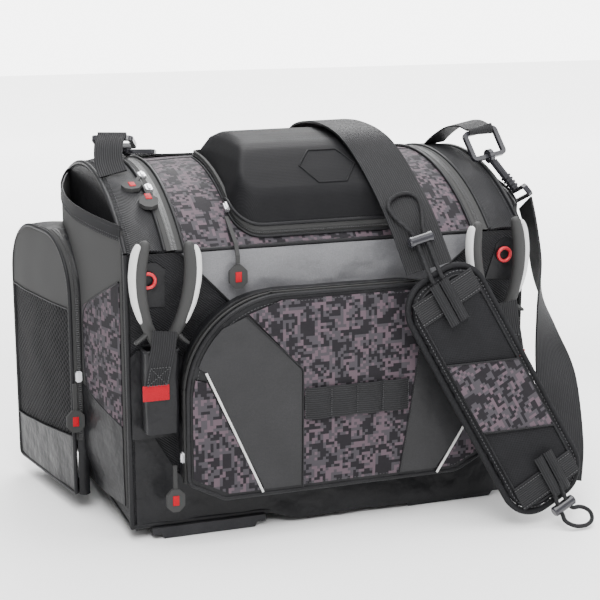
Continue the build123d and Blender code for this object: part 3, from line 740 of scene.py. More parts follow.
ZIP_COIL = Finish("zip_coil", "zip_tape", (0.014, 0.014, 0.015), (0.030, 0.030, 0.032), 0.38, shine=0.4,
                  grain=Grain.TEETH, lay=Lay.SURFACE, pitch=1.6, relief=0.6, band=5.0)
WEBBING = Finish("ribbed_webbing", "webbing", (0.011, 0.011, 0.012), (0.024, 0.024, 0.026), 0.55, shine=0.14,
                 grain=Grain.RIBS, lay=Lay.SURFACE, pitch=2.3, relief=0.45)
BINDING = Finish("binding_tape", "black_fabric", (0.009, 0.009, 0.010), (0.020, 0.020, 0.022), 0.65,
                 grain=Grain.WEAVE, pitch=1.2, relief=0.2)
PIPING = Finish("black_piping", "black_fabric", (0.009, 0.009, 0.010), (0.022, 0.022, 0.024), 0.45,
                shine=0.15, grain=Grain.FILM, pitch=1.5, relief=0.15)
REFLECTIVE = Finish("pale_piping", "coated_fabric", (0.58, 0.58, 0.57), (0.74, 0.74, 0.73), 0.38,
                    grain=Grain.FILM, pitch=1.5, relief=0.15)
PAD_CLOTH = Finish("pad_cloth", "pad_fabric", (0.008, 0.008, 0.009), (0.018, 0.018, 0.020), 0.68,
                   grain=Grain.WEAVE, pitch=1.8, relief=0.3)
THREAD = Finish("thread", "black_fabric", (0.05, 0.05, 0.052), (0.10, 0.10, 0.105), 0.6, grain=Grain.WEAVE,
                pitch=0.8, relief=0.1)
LABEL = Finish("red_label", "coated_fabric", (0.30, 0.002, 0.010), (0.40, 0.006, 0.018), 0.45,
               grain=Grain.FILM, pitch=1.0, relief=0.08)
GLOSS = Finish("gloss_plastic", "gloss_plastic", (0.006, 0.006, 0.007), (0.012, 0.012, 0.013), 0.24,
               gloss_range=0.06, shine=0.35, grain=Grain.MOULDED, pitch=2.0, relief=0.03, coat=0.15)
SKID = Finish("skid_plastic", "rail_plastic", (0.024, 0.024, 0.026), (0.045, 0.045, 0.048), 0.55,
              grain=Grain.MOULDED, pitch=1.0, relief=0.06)
BOARD = Finish("stiffener", "board", (0.05, 0.05, 0.052), (0.08, 0.08, 0.083), 0.8, grain=Grain.MOULDED)
STEEL = Finish("bright_steel", "bright_steel", (0.11, 0.11, 0.115), (0.22, 0.22, 0.23), 0.26, gloss_range=0.1,
               metallic=1.0, grain=Grain.MOULDED, pitch=1.2, relief=0.03)
RED_METAL = Finish("red_metal", "red_metal", (0.32, 0.003, 0.012), (0.44, 0.008, 0.022), 0.28, metallic=0.9,
                   grain=Grain.MOULDED, pitch=1.5, relief=0.02)
TOOL = Finish("tool_black", "tool_black", (0.006, 0.006, 0.007), (0.013, 0.013, 0.014), 0.2, shine=0.2,
              grain=Grain.MOULDED, pitch=1.2, relief=0.05)
TOOL_GRIP = Finish("tool_grip", "tool_grip", (0.125, 0.125, 0.130), (0.175, 0.175, 0.180), 0.5, shine=0.3,
                   grain=Grain.MOULDED, pitch=1.0, relief=0.08)
RUBBER = Finish("pull_rubber", "pull_rubber", (0.009, 0.009, 0.010), (0.018, 0.018, 0.020), 0.5, shine=0.1,
                grain=Grain.MOULDED, pitch=1.0, relief=0.05)
RED_RUBBER = Finish("red_rubber", "pull_rubber", (0.34, 0.002, 0.010), (0.44, 0.006, 0.018), 0.5,
                    grain=Grain.MOULDED, pitch=1.0, relief=0.04)
ELASTIC = Finish("elastic_cord", "elastic", (0.012, 0.012, 0.013), (0.036, 0.036, 0.038), 0.6,
                 grain=Grain.WEAVE, pitch=1.4, relief=0.35)


# ---- Trim ----------------------------------------------------------------------------------
def pipe(name: str, line: Sequence[Point], radius: float, body: str = "root", closed: bool = False) -> None:
    """Black piping along a line."""
    dress(rope(name, line, radius, closed), PIPING, body)


def sew(name: str, line: Sequence[Point], body: str = "root", pitch: float = 3.6,
        thread: float = 0.35) -> None:
    """A row of stitches along a line, in the bag's own thread."""
    dress(stitches(name, line, pitch, thread), THREAD, body)


def across_dome(x: float, angles: Sequence[float], lift: float) -> list[Point]:
    """A line over the dome from front to back at one X."""
    return [dome_point(x, a, lift) for a in angles]


# ---- Lid and top ---------------------------------------------------------------------------
def half_zip(part: str, word: str, angles: Sequence[float], places: tuple[float, float],
             body: str = "root") -> None:
    """One half of a zip over the dome: its tape and its coil.

    Args:
        part: what it is sewn to, for the names.
        word: which side it is on.
        angles: the dome's angles along it.
        places: X of the middle of the tape and of the coil.
        body: the body that it moves with.
    """
    for kind, x, lift, width, thickness, finish in (("tape", places[0], 0.5, TAPE_WIDTH, 1.2, ZIP_TAPE),
                                                    ("coil", places[1], 0.7, COIL_WIDTH, 1.4, ZIP_COIL)):
        line = across_dome(x, angles, lift)
        strip = ribbon(f"{part}_zip_{kind}_{word}", line, [(1, 0, 0)] * len(line), width, thickness)
        dress(strip, finish, body)


@dataclass
class Lid:
    """The domed camouflage lid with its piping and its half of the zips."""

    half: float = LID_HALF
    front: float = FRONT_Y
    back: float = 188.0
    wall: float = 3.4
    lining_inset: float = 4.0
    case_half: float = 108.0
    puff: float = 2.4
    crease: float = 0.9

    def at(self, x: float, angle: float, lower: float = 0.0) -> Point:
        """The lid's outer face, puffed between its edges and softly creased."""
        across = 1 - (x / self.half) ** 2
        along = (angle - dome_angle(self.front)) / (dome_angle(self.back) - dome_angle(self.front))
        puff = self.puff * max(across, 0) ** 0.6 * math.sin(math.pi * min(max(along, 0), 1)) ** 0.6
        crease = self.crease * ripple(x / 36, along * 7, 0.4) * max(across, 0)
        sink = 0.0 if abs(x) > self.case_half or along > 0.68 else -1.2
        return dome_point(x, angle, puff + crease + sink * 0.5 - 0.6 - lower)

    def build(self) -> None:
        """Build and dress the lid."""
        first, last = dome_angle(self.front), dome_angle(self.back)
        arc = (last - first) * DOME_RADIUS
        sweep = last - first
        cover = surface("lid_cover", (70, 60),
                        lambda u, v: self.at((2 * u - 1) * self.half, first + sweep * v),
                        (2 * self.half, arc), self.wall)
        dress(cover, CAMO, "lid", "lid")
        inner, under = self.half - self.lining_inset, self.wall + 0.4
        lining = surface("lid_lining", (40, 40),
                         lambda u, v: self.at((2 * u - 1) * inner, first + 0.01 + (sweep - 0.02) * v, under),
                         (2 * inner, arc), 0.5)
        dress(lining, LINING, "lid")
        for place, end in (("front", first), ("back", last)):
            edge = [dome_point(x, end, -1.0) for x in np.linspace(-self.half, self.half, 18)]
            pipe(f"lid_{place}_piping", edge, 1.9, "lid")
        for side, word in SIDES:
            angles = np.linspace(first, last, 26)
            middles = (side * (self.half - TAPE_WIDTH / 2), side * (self.half - 0.4))
            half_zip("lid", word, angles, middles, "lid")
            line = across_dome(side * (self.half - TAPE_WIDTH), angles, 1.8)
            pipe(f"lid_side_piping_{word}", line, PIPE, "lid")
            line = [self.at(side * (self.half - TAPE_WIDTH - 4), a) for a in angles]
            sew(f"lid_stitches_{word}", line, "lid")
        seam = [self.at(x, first + (last - first) * (0.62 + 0.05 * math.cos(x / 90)))
                for x in np.linspace(-158, 158, 40)]
        pipe("lid_cross_seam", seam, 0.8, "lid")


@dataclass
class TopGussets:
    """The fixed strips of the dome beside the lid, with the other half of each zip."""

    inner: float = 169.5
    outer: float = 220.0
    bulge: float = 3.5
    overlap: float = 8.0

    def build(self) -> None:
        """Build and dress both gussets."""
        first, last = dome_angle(FRONT_Y), dome_angle(BACK_Y)
        for side, word in SIDES:
            def place(u: float, v: float) -> Point:
                """A point at share u across the strip and share v along the dome."""
                share = u if side > 0 else 1 - u
                x = side * (self.inner + self.overlap + (self.outer - self.inner - self.overlap) * share)
                lift = self.bulge * math.sin(math.pi * share) - 3.2 * share ** 4
                lift += 0.8 * ripple(3 * share, 9 * v, 1.0 + side) * math.sin(math.pi * share)
                return dome_point(x, first + (last - first) * v, lift - 0.4)

            strip = surface(f"top_gusset_cloth_{word}", (14, 56), place,
                            (self.outer - self.inner, (last - first) * DOME_RADIUS), 3.2)
            dress(strip, RIBBED, "root", f"top_gusset_{word}")
            angles = np.linspace(first, last, 26)
            half_zip("gusset", word, angles, (side * (self.inner + 4.5), side * (self.inner + 0.9)))
            line = across_dome(side * (self.inner + 9.5), angles, 1.6)
            pipe(f"gusset_inner_piping_{word}", line, PIPE)
            line = across_dome(side * (self.outer - 1.5), angles, -1.0)
            pipe(f"gusset_outer_piping_{word}", line, 2.6)
            line = across_dome(side * (self.outer - 8), angles, 0.9)
            sew(f"gusset_stitches_{word}", line)


# ---- Moulded case --------------------------------------------------------------------------
@dataclass
class MouldedCase:
    """The moulded case on the lid: a zipped rim and a domed cover with a hexagonal recess."""

    half: float = 100.0
    front: float = -76.0
    back: float = 106.0
    corner: float = 26.0
    rim: float = 8.0
    crown: float = 402.0
    wall: float = 3.0
    wall_span: float = 84.0
    hexagon_middle: tuple = (8.0, -46.0)
    hexagon_half: tuple = (31.0, 20.0)
    shares: tuple = (1.0, 0.994, 0.985, 0.972, 0.955, 0.935, 0.91, 0.88, 0.845, 0.8, 0.74, 0.67, 0.58, 0.47,
                     0.34, 0.18, 0.0)

    def edge(self, turn: float, inset: float = 0.0) -> tuple[float, float]:
        """A point on the rounded rectangle of the rim, at a share of the way round."""
        half, depth = self.half - inset, (self.back - self.front) / 2 - inset
        radius = max(self.corner - inset, 2.0)
        straight = [2 * (half - radius), 2 * (depth - radius)]
        bend = math.pi / 2 * radius
        runs = [straight[0], bend, straight[1], bend] * 2
        place = (turn % 1.0) * sum(runs)
        middle = (self.front + self.back) / 2
        corners = [(half - radius, radius - depth), (half - radius, depth - radius),
                   (radius - half, depth - radius), (radius - half, radius - depth)]
        starts = [(radius - half, -depth), (half, radius - depth), (half - radius, depth),
                  (-half, depth - radius)]
        ways = [(1, 0), (0, 1), (-1, 0), (0, -1)]
        for i in range(4):
            if place <= runs[2 * i]:
                return starts[i][0] + ways[i][0] * place, middle + starts[i][1] + ways[i][1] * place
            place -= runs[2 * i]
            if place <= bend:
                angle = -math.pi / 2 + i * math.pi / 2 + place / radius
                return (corners[i][0] + radius * math.cos(angle),
                        middle + corners[i][1] + radius * math.sin(angle))
            place -= bend
        return starts[0][0], middle + starts[0][1]

    def top(self, x: float, y: float) -> float:
        """Height of the cover's crown, without its walls."""
        reach = [-76, -72, -66, -50, -34, -24, -12, 20, 50, 76, 92, 100, 106]
        drop = [66, 56, 47, 32.5, 19.5, 12.5, 7.5, 2.5, 0, 4, 11, 24, 58]
        sides = [0, 60, 70, 78, 86, 94, 98, 100]
        flank = [-3, -1, 1.5, 9, 23, 42, 53, 62]
        ahead, aside = float(np.interp(y, reach, drop)), float(np.interp(abs(x), sides, flank))
        return self.crown + soft_min(-ahead, -aside, 7.0)

    def wall_rise(self, inset: float) -> float:
        """How far the cover's wall has risen at a distance inside the rim."""
        reach = [0, 1.0, 2.5, 5, 9, 14, 21, 30, 42, 60, 90]
        rise = [0, 7, 15, 25, 36, 46, 57, 67, 76, 84, 92]
        return float(np.interp(inset, reach, rise))

    def build(self) -> None:
        """Build and dress the rim, the cover and the recess."""
        loop = [self.edge(t / 96) for t in range(97)]
        around = line_length([(*p, 0) for p in loop])
        rim = surface("case_rim", (128, 3), lambda u, v: self.rim_point(u, v * self.rim - 0.2, 0.0),
                      (around, self.rim), self.wall, closed=True)
        dress(rim, ZIP_TAPE, "lid", "case_base")
        coil = self.band("case_zip_coil", 3.2, 4.6, 1.0)
        dress(coil, ZIP_COIL, "lid")
        low = rope("case_rim_piping", [self.rim_point(t / 96, 0.9, 1.3) for t in range(96)], 1.5, True)
        dress(low, PIPING, "lid")
        self.build_cover()

    def rim_point(self, turn: float, lift: float, proud: float) -> Point:
        """A point on the outside of the rim."""
        x, y = self.edge(turn, -proud)
        return x, y, dome_height(min(max(y, FRONT_Y), BACK_Y), lift)

    def band(self, name: str, low: float, high: float, proud: float) -> bpy.types.Object:
        """A band round the rim between two heights."""
        return surface(name, (160, 2), lambda u, v: self.rim_point(u, low + (high - low) * v, proud),
                       (600.0, 5.0), 0.8, closed=True)

    def cover_point(self, turn: float, share: float) -> Point:
        """A point on the cover: share 1 is the rim, 0 the middle."""
        x, y = self.edge(turn)
        middle = (self.front + self.back) / 2
        x, y = x * share, middle + (y - middle) * share
        wall = dome_height(y, self.rim + 0.5) + self.wall_rise((1 - share) * self.wall_span)
        return x, y, soft_min(wall, self.top(x, y), 5.0)

    def crown_at(self, x: float, y: float) -> float:
        """Height of the cover above any point of the lid."""
        middle = (self.front + self.back) / 2
        share = max(abs(x) / self.half, abs(y - middle) / ((self.back - self.front) / 2))
        wall = dome_height(y, self.rim + 0.5) + self.wall_rise((1 - share) * self.wall_span)
        return min(wall, self.top(x, y))

    def build_cover(self) -> None:
        """Build and dress the cover and its hexagon."""
        rows = list(self.shares)

        def place(u: float, v: float) -> Point:
            """A point at share u round the cover and share v towards its middle."""
            step = v * (len(rows) - 1)
            i = min(int(step), len(rows) - 2)
            share = rows[i] + (rows[i + 1] - rows[i]) * (step - i)
            return self.cover_point(u, share)

        cover = surface("case_cover", (128, 48), place, (520.0, 130.0), self.wall, closed=True)
        dress(cover, MOULDED, "case_lid", "case_lid")
        hem = [self.cover_point(t / 96, 1.0) for t in range(96)]
        hem = [(x, y, z + 1.0) for x, y, z in hem]
        pipe("case_cover_binding", hem, 1.9, "case_lid", True)
        (x, y), (wide, deep) = self.hexagon_middle, self.hexagon_half
        hexagon = [(x + wide * math.cos(a), y + deep * math.sin(a))
                   for a in np.arange(0, math.tau, math.tau / 6)]
        ring = []
        for (x0, y0), (x1, y1) in zip(hexagon, hexagon[1:] + hexagon[:1]):
            ring += [(x0 + (x1 - x0) * t, y0 + (y1 - y0) * t) for t in (0, 0.25, 0.5, 0.75)]
        edge = [(x, y, self.crown_at(x, y) + 0.2) for x, y in ring]
        dress(rope("case_hexagon", edge, 1.0, True, 2), MOULDED, "case_lid")


# ---- Body ----------------------------------------------------------------------------------
@dataclass
class BodyShell:
    """Front, back, sides and bottom of the bag, with piping along their seams."""

    half: float = SIDE_X
    low: float = SKID_TOP
    wall: float = 3.4

    def front_at(self, x: float, z: float) -> Point:
        """The front's outer face, creased away from its edges."""
        high = (z - self.low) / (FRONT_EDGE_Z - self.low)
        side = max(1 - (x / self.half) ** 2, 0)
        crease = (1.6 * ripple(x / 30, z / 24, 2.0) + 1.2 * ripple(x / 60, z / 50, 0.7)) * side ** 0.5
        calm = smooth(min(high, 1 - high) * 12)
        return x, FRONT_Y + 0.9 - crease * calm, z

    def build(self) -> None:
        """Build and dress every face."""
        tall = FRONT_EDGE_Z - 2 - self.low
        front = surface("front_cloth", (64, 48),
                        lambda u, v: self.front_at(self.half * (2 * u - 1), self.low + tall * v),
                        (2 * self.half, 288.0), self.wall)
        dress(front, RIBBED, "root", "front_panel")
        self.front_panels()
        back = surface("back_cloth", (56, 40), self.back_at, (2 * self.half, 320.0), self.wall)
        dress(back, RIBBED, "root", "back_panel")
        for side, word in SIDES:
            cloth = surface(f"side_cloth_{word}", (40, 36), lambda u, v: self.side_at(side, u, v),
                            (280.0, 320.0), 3.4)
            dress(cloth, RIBBED, "root", f"side_panel_{word}")
        base = surface("bottom_cloth", (48, 32), self.bottom_at, (428.0, 272.0), -3.6)
        dress(base, BLACK_FILM, "root", "bottom_panel")
        self.seams()

    def bottom_at(self, u: float, v: float) -> Point:
        """The bottom's face."""
        return 214 - 428 * u, -80 + 272 * v, self.low + 0.6 + 0.5 * ripple(u * 9, v * 7, 3.0)

    def back_at(self, u: float, v: float) -> Point:
        """The back's outer face."""
        x = self.half * (1 - 2 * u)
        top = dome_height(BACK_Y) - 2
        calm = smooth(min(v, 1 - v) * 10) * smooth(min(u, 1 - u) * 10)
        crease = 1.4 * ripple(u * 13, v * 10, 5.0) + 1.6 * ripple(u * 6, v * 5, 4.0)
        return x, BACK_Y - 1.6 + crease * calm, self.low + (top - self.low) * v

    def side_at(self, side: int, u: float, v: float) -> Point:
        """One side's outer face."""
        share = u if side > 0 else 1 - u
        y = FRONT_Y + (BACK_Y - FRONT_Y) * share
        top = dome_height(y) - 2.5
        return side * (self.half - 0.8), y, self.low + (top - self.low) * v

    def front_panels(self) -> None:
        """The smooth grey panel under the lid and the coated band below the pocket."""
        outline = [(-163, 297), (-112, 244), (-60, 236), (70, 236), (112, 246), (128, 262), (168, 294),
                   (168, 297)]

        def over(x: float, z: float) -> Point:
            """Just in front of the front cloth, with shallow folds."""
            place = self.front_at(x, z)
            fold = 1.3 * ripple(x / 24 + z / 30, z / 14, 6.0)
            return place[0], place[1] - 1.4 - max(fold, -0.8), z

        dress(patch("grey_panel", outline, over, 7.0, 1.0), GREY_FILM)
        for a, b, word in ((0, 1, "left"), (5, 6, "right")):
            start, run = np.array(outline[a]), np.array(outline[b]) - outline[a]
            line = [over(*(start + run * t)) for t in np.linspace(0, 1, 9)]
            pipe(f"grey_panel_seam_{word}", line, 1.0)

        def hang(x: float, z: float) -> Point:
            """The lower band, which sags to the floor on the right and hangs in front of the skid."""
            place = over(x, z)
            low = smooth((44 - z) / 30)
            right = smooth((x + 90) / 60) * smooth((206 - x) / 20)
            wave = 0.5 + 0.5 * ripple(x / 22, 1.0, 5.0)
            return x, place[1] - low * right * (6.5 + 2.0 * wave), z - low * right * (8.0 + 2.5 * wave)

        band = [(-214, 14), (214, 14), (214, 62), (172, 66), (132, 50), (-132, 50), (-170, 68), (-200, 120),
                (-214, 124)]
        dress(patch("lower_band", band, hang, 6.0, 1.2), BLACK_FILM)
        for side, word in SIDES:
            spot = [(side * EYELET_X + a, EYELET_Z - 4 + b) for a, b in [(-21, -22), (17, -24), (19, 14)]]
            spot += arc_points((side * EYELET_X + 4, EYELET_Z + 4), 14, 0, 180, 7)
            dress(patch(f"eyelet_patch_{word}", hull(spot), over, 8.0, 0.8), BLACK_FILM)

    def seams(self) -> None:
        """Piping along the corners of the bag."""
        for side, word in SIDES:
            x = side * (self.half - 1.5)
            line = [(x, FRONT_Y + 0.5, z) for z in np.linspace(14, FRONT_EDGE_Z - 1, 12)]
            pipe(f"front_corner_piping_{word}", line, 2.7)
            line = [(x, BACK_Y - 1.5, z) for z in np.linspace(14, dome_height(BACK_Y) - 2, 12)]
            pipe(f"back_corner_piping_{word}", line, 2.7)
            line = [(x, y, self.low + 2.6) for y in np.linspace(FRONT_Y + 1, BACK_Y - 2, 12)]
            pipe(f"bottom_side_piping_{word}", line, 2.6)
        for y, word in ((FRONT_Y + 0.6, "front"), (BACK_Y - 1.6, "back")):
            line = [(x, y, self.low + 2.6) for x in np.linspace(-self.half + 2, self.half - 2, 18)]
            pipe(f"bottom_{word}_piping", line, 2.6)


def hull(points: Sequence[tuple[float, float]]) -> list[tuple[float, float]]:
    """Points put in order round their middle, anticlockwise."""
    middle = np.mean(points, axis=0)
    return sorted(points, key=lambda p: math.atan2(p[1] - middle[1], p[0] - middle[0]))


# ---- Front pocket --------------------------------------------------------------------------
@dataclass
class FrontPocket:
    """The arched pocket on the front: gusset, zip and a flap of five sewn panels."""

    half: float = 168.0
    top: float = 256.0
    corner: float = 100.0
    side: float = 66.0
    base: float = 130.0
    bottom: float = 46.0
    flap_back: float = -116.5
    flap_face: float = -120.3
    loops: tuple = (-45.0, 69.0, 124.0, 157.0)
    swell_middle: tuple = (0.0, 150.0)

    def outline(self, inset: float = 0.0, count: int = 15) -> list[tuple[float, float]]:
        """The flap's outline in X and Z, anticlockwise, moved inwards by inset."""
        half, shoulder = self.half - inset, self.top - self.corner
        radius, low = self.corner - inset, self.bottom + inset
        points = [(-self.base + inset / 2, low), (self.base - inset / 2, low), (half, self.side + inset / 2)]
        points += arc_points((half - radius, shoulder), radius, 0, 90, count)
        points += arc_points((radius - half, shoulder), radius, 90, 180, count)
        return points + [(-half, self.side + inset / 2)]

    def round_line(self, inset: float, pitch: float = 12.0) -> list[tuple[float, float]]:
        """The outline as evenly spaced points, closed."""
        return evenly(self.outline(inset), pitch)

    def face(self, x: float, z: float, lift: float = 0.0) -> Point:
        """The flap's outer face: padded, flat near its edge."""
        high = min(max((z - self.bottom) / (self.top - self.bottom), 0), 1)
        puff = math.cos(min(abs(x) / self.half, 1) * math.pi / 2) ** 0.5
        puff *= max(math.sin(math.pi * high), 0) ** 0.5
        crease = 0.5 * ripple(x / 26, z / 22, 8.0) * puff
        return x, self.flap_face - 3.0 * puff - crease - lift, z

    def build(self) -> None:
        """Build and dress the pocket."""
        loop = self.round_line(0.0, 7.0)
        count = len(loop)
        around = 7.0 * count

        def wall(u: float, v: float) -> Point:
            """The gusset's outer face, swelling between its seams."""
            spot = loop_point(loop, (u * count) % count)
            swell = 1.8 * math.sin(math.pi * v) + 0.5 * ripple(u * 40, v * 4, 3.0)
            x, z = spot + outwards_from(self.swell_middle, spot) * (swell - 0.6)
            return x, FRONT_Y - 0.2 + (self.flap_back + 0.6 - FRONT_Y) * v, z

        gusset = surface("pocket_gusset_cloth", (count, 8), wall, (around, 32.0), 2.4, closed=True)
        dress(gusset, BLACK_FILM, "root", "pocket_gusset")
        for depth, width, finish, word in ((-108.0, 12.0, ZIP_TAPE, "tape"), (-108.0, 4.6, ZIP_COIL, "coil")):
            line, across = self.gusset_line(depth, 1.0 if word == "tape" else 1.9)
            dress(ribbon(f"pocket_zip_{word}", line, across, width, 1.2, cuts=190), finish)
        base = slab("pocket_flap_base", self.outline(1.5), (0, self.flap_back, 0), (1, 0, 0), (0, 0, 1),
                    3.2, 0.6)
        dress(base, BLACK_FILM, "pocket_flap", "pocket_flap")
        line = [(x, self.flap_back - 2.2, z) for x, z in self.round_line(1.2, 9.0)]
        pipe("pocket_flap_piping", line, 2.4, "pocket_flap", True)
        line = [self.face(x, z, 0.4) for x, z in self.round_line(8.0, 9.0)]
        sew("pocket_flap_stitches", line + line[:1], "pocket_flap")
        self.panels()
        self.webbing()

    def gusset_line(self, depth: float, lift: float) -> tuple[list[Point], list[Point]]:
        """A line round the arch of the gusset from one lower corner to the other."""
        points = self.outline(0.0, 21)[2:]
        line, across = [], []
        for x, z in [(self.half, self.side)] + points[1:-1] + [(-self.half, self.side)]:
            out = outwards_from(self.swell_middle, (x, z))
            line.append((x + out[0] * lift, depth, z + out[1] * lift))
            across.append((0, 1, 0))
        return line, across

    def arch(self, first: float, last: float, inset: float = 6.0,
             count: int = 9) -> list[tuple[float, float]]:
        """Points of the arch between two angles in degrees; under 90 is the right shoulder."""
        shoulder = self.top - self.corner
        radius = self.corner - inset
        if first <= 90:
            return arc_points((self.half - self.corner, shoulder), radius, first, min(last, 90), count)
        return arc_points((self.corner - self.half, shoulder), radius, first, last, count)

    def panels(self) -> None:
        """The camouflage and grey panels and the pale piping between them."""
        side = self.half - 5
        left_wing = [(-148, 172), (-92, 53), (-126, 53), (-side, 72), (-side, 156)]
        left_wing += self.arch(180, 168, count=3)[1:]
        grey_left = [(-148, 181), (-88, 53), (-48, 53), (-48, 176), (-106, 236)]
        grey_left += self.arch(125, 160, count=6)[1:]
        centre = [(-47, 53), (61, 53), (82, 186), (96, 240), (68, 250), (-68, 250), (-103, 238), (-47, 177)]
        grey_right = [(62, 53), (104, 53), (139, 101), (141, 200), (96, 240), (83, 186)]
        right_wing = [(107, 53), (126, 53), (side, 72), (side, 156), (160, 178), (141, 200), (140, 103)]
        for word, zone, finish, lift in (("left_wing", left_wing, CAMO, 0.6),
                                         ("left_grey", grey_left, CHARCOAL_FILM, 0.9),
                                         ("centre", centre, CAMO, 0.6),
                                         ("right_grey", grey_right, CHARCOAL_FILM, 0.9),
                                         ("right_wing", right_wing, CAMO, 0.6)):
            piece = patch(f"flap_{word}", zone, lambda x, z: self.face(x, z, lift), 7.0, 1.0)
            dress(piece, finish, "pocket_flap")
        seams = (("pale_left", [(-149, 182), (-89, 48)], REFLECTIVE, 1.3),
                 ("pale_right", [(140, 104), (105, 47)], REFLECTIVE, 1.3),
                 ("dark_left", [(-106, 236), (-47, 177), (-47, 48)], PIPING, 0.8),
                 ("dark_right", [(96, 240), (82, 186), (61, 48)], PIPING, 0.8),
                 ("dark_outer", [(141, 200), (140, 104)], PIPING, 0.8))
        for word, corners, finish, radius in seams:
            line = [self.face(p[0], p[1], 1.5) for p in walk([(*c, 0) for c in corners], 6.0)]
            dress(rope(f"flap_seam_{word}", line, radius), finish, "pocket_flap")

    def webbing(self) -> None:
        """The row of webbing loops across the flap."""
        left, right, low, high = self.loops
        pitch = (right - left) / 4
        base = min(self.face(12, 140)[1] - 0.8, self.flap_face - 2.6)
        line = []
        for x in (left + (right - left) * (step / 64) for step in range(65)):
            bulge = abs(math.sin(math.pi * (x - left) / pitch)) ** 0.8
            line.append((x, base - 0.8 - 2.9 * bulge, (low + high) / 2))
        strip = ribbon("flap_webbing", line, [(0, 0, 1)] * len(line), high - low, 1.6, cuts=110)
        dress(strip, WEBBING, "pocket_flap", "webbing_loops")
        for i in range(5):
            x = left + pitch * i
            bar = [(x, base - 1.9, z) for z in np.linspace(low + 2, high - 2, 14)]
            sew(f"flap_webbing_tack_{i}", bar, "pocket_flap", 2.4, 0.5)


# ---- Sleeves and side pockets --------------------------------------------------------------
@dataclass
class Sided:
    """A sub-assembly that stands on both sides, -1 being the left and 1 the right."""

    side: int

    @property
    def word(self) -> str:
        """Which side this one is on."""
        return "right" if self.side > 0 else "left"


@dataclass
class RodSleeve(Sided):
    """A stretch sleeve on one side for a rod, with a hem and sewn patches."""

    front: float = -69.0
    back: float = 181.0
    bow: float = 28.0
    low: float = 30.0
    front_top: float = 322.0
    back_top: float = 346.0

    def at(self, y: float, z: float, lift: float = 0.0) -> Point:
        """The sleeve's outer face."""
        share = (y - self.front) / (self.back - self.front)
        arch = math.sin(math.pi * min(max(share, 0), 1))
        out = self.bow * arch ** 0.9
        high = (z - self.low) / 300
        out *= 0.55 + 0.45 * smooth(high * 6)
        out += 0.9 * ripple(share * 9, high * 5, 2.0 + self.side) * arch
        return self.side * (SIDE_X + min(out, self.bow) + lift - 0.5), y, z

    def top(self, y: float) -> float:
        """Height of the mouth."""
        rise = self.back_top - self.front_top
        return self.front_top + rise * (y - self.front) / (self.back - self.front)

    def build(self) -> None:
        """Build and dress the sleeve."""
        def place(u: float, v: float) -> Point:
            """A point at share u of the depth and share v of the height."""
            share = u if self.side > 0 else 1 - u
            y = self.front + (self.back - self.front) * share
            return self.at(y, self.low + (self.top(y) - self.low) * v)

        body = surface(f"rod_sleeve_cloth_{self.word}", (48, 44), place, (262.0, 300.0), 2.6)
        dress(body, NEOPRENE, "root", f"rod_sleeve_{self.word}")
        rows = np.linspace(self.front, self.back, 30)
        line = [self.at(y, self.top(y) - 4, 0.3) for y in rows]
        dress(ribbon(f"rod_sleeve_hem_{self.word}", line, [(0, 0, 1)] * 30, 16.0, 1.0), BINDING)
        line = [self.at(y, self.top(y), -1.0) for y in rows]
        pipe(f"rod_sleeve_lip_{self.word}", line, 1.8)
        for drop in (8.0, 11.0):
            line = [self.at(y, self.top(y) - drop, 0.9) for y in rows]
            sew(f"rod_sleeve_stitches_{self.word}_{int(drop)}", line)
        self.panels()

    def panels(self) -> None:
        """The camouflage and coated patches beside the front corner."""
        camo = [(-66, 268), (-66, 118), (5, 142), (8, 230)]
        coat = [(-66, 32), (14, 32), (12, 144), (-66, 116)]
        for word, zone, finish in (("camo", camo, CAMO), ("coated", coat, BLACK_FILM)):
            corners = zone if self.side > 0 else [(-y, z) for y, z in reversed(zone)]
            piece = patch(f"sleeve_{word}_{self.word}", hull(corners),
                          lambda a, z: self.at(a if self.side > 0 else -a, z, 1.2), 8.0, 1.0)
            dress(piece, finish)
        seam = ((-66, 117), (-30, 129), (5, 142), (7, 186), (8, 230), (-30, 249), (-66, 268))
        line = [self.at(y, z, 1.2) for y, z in seam]
        pipe(f"sleeve_seam_{self.word}", line, 1.1)


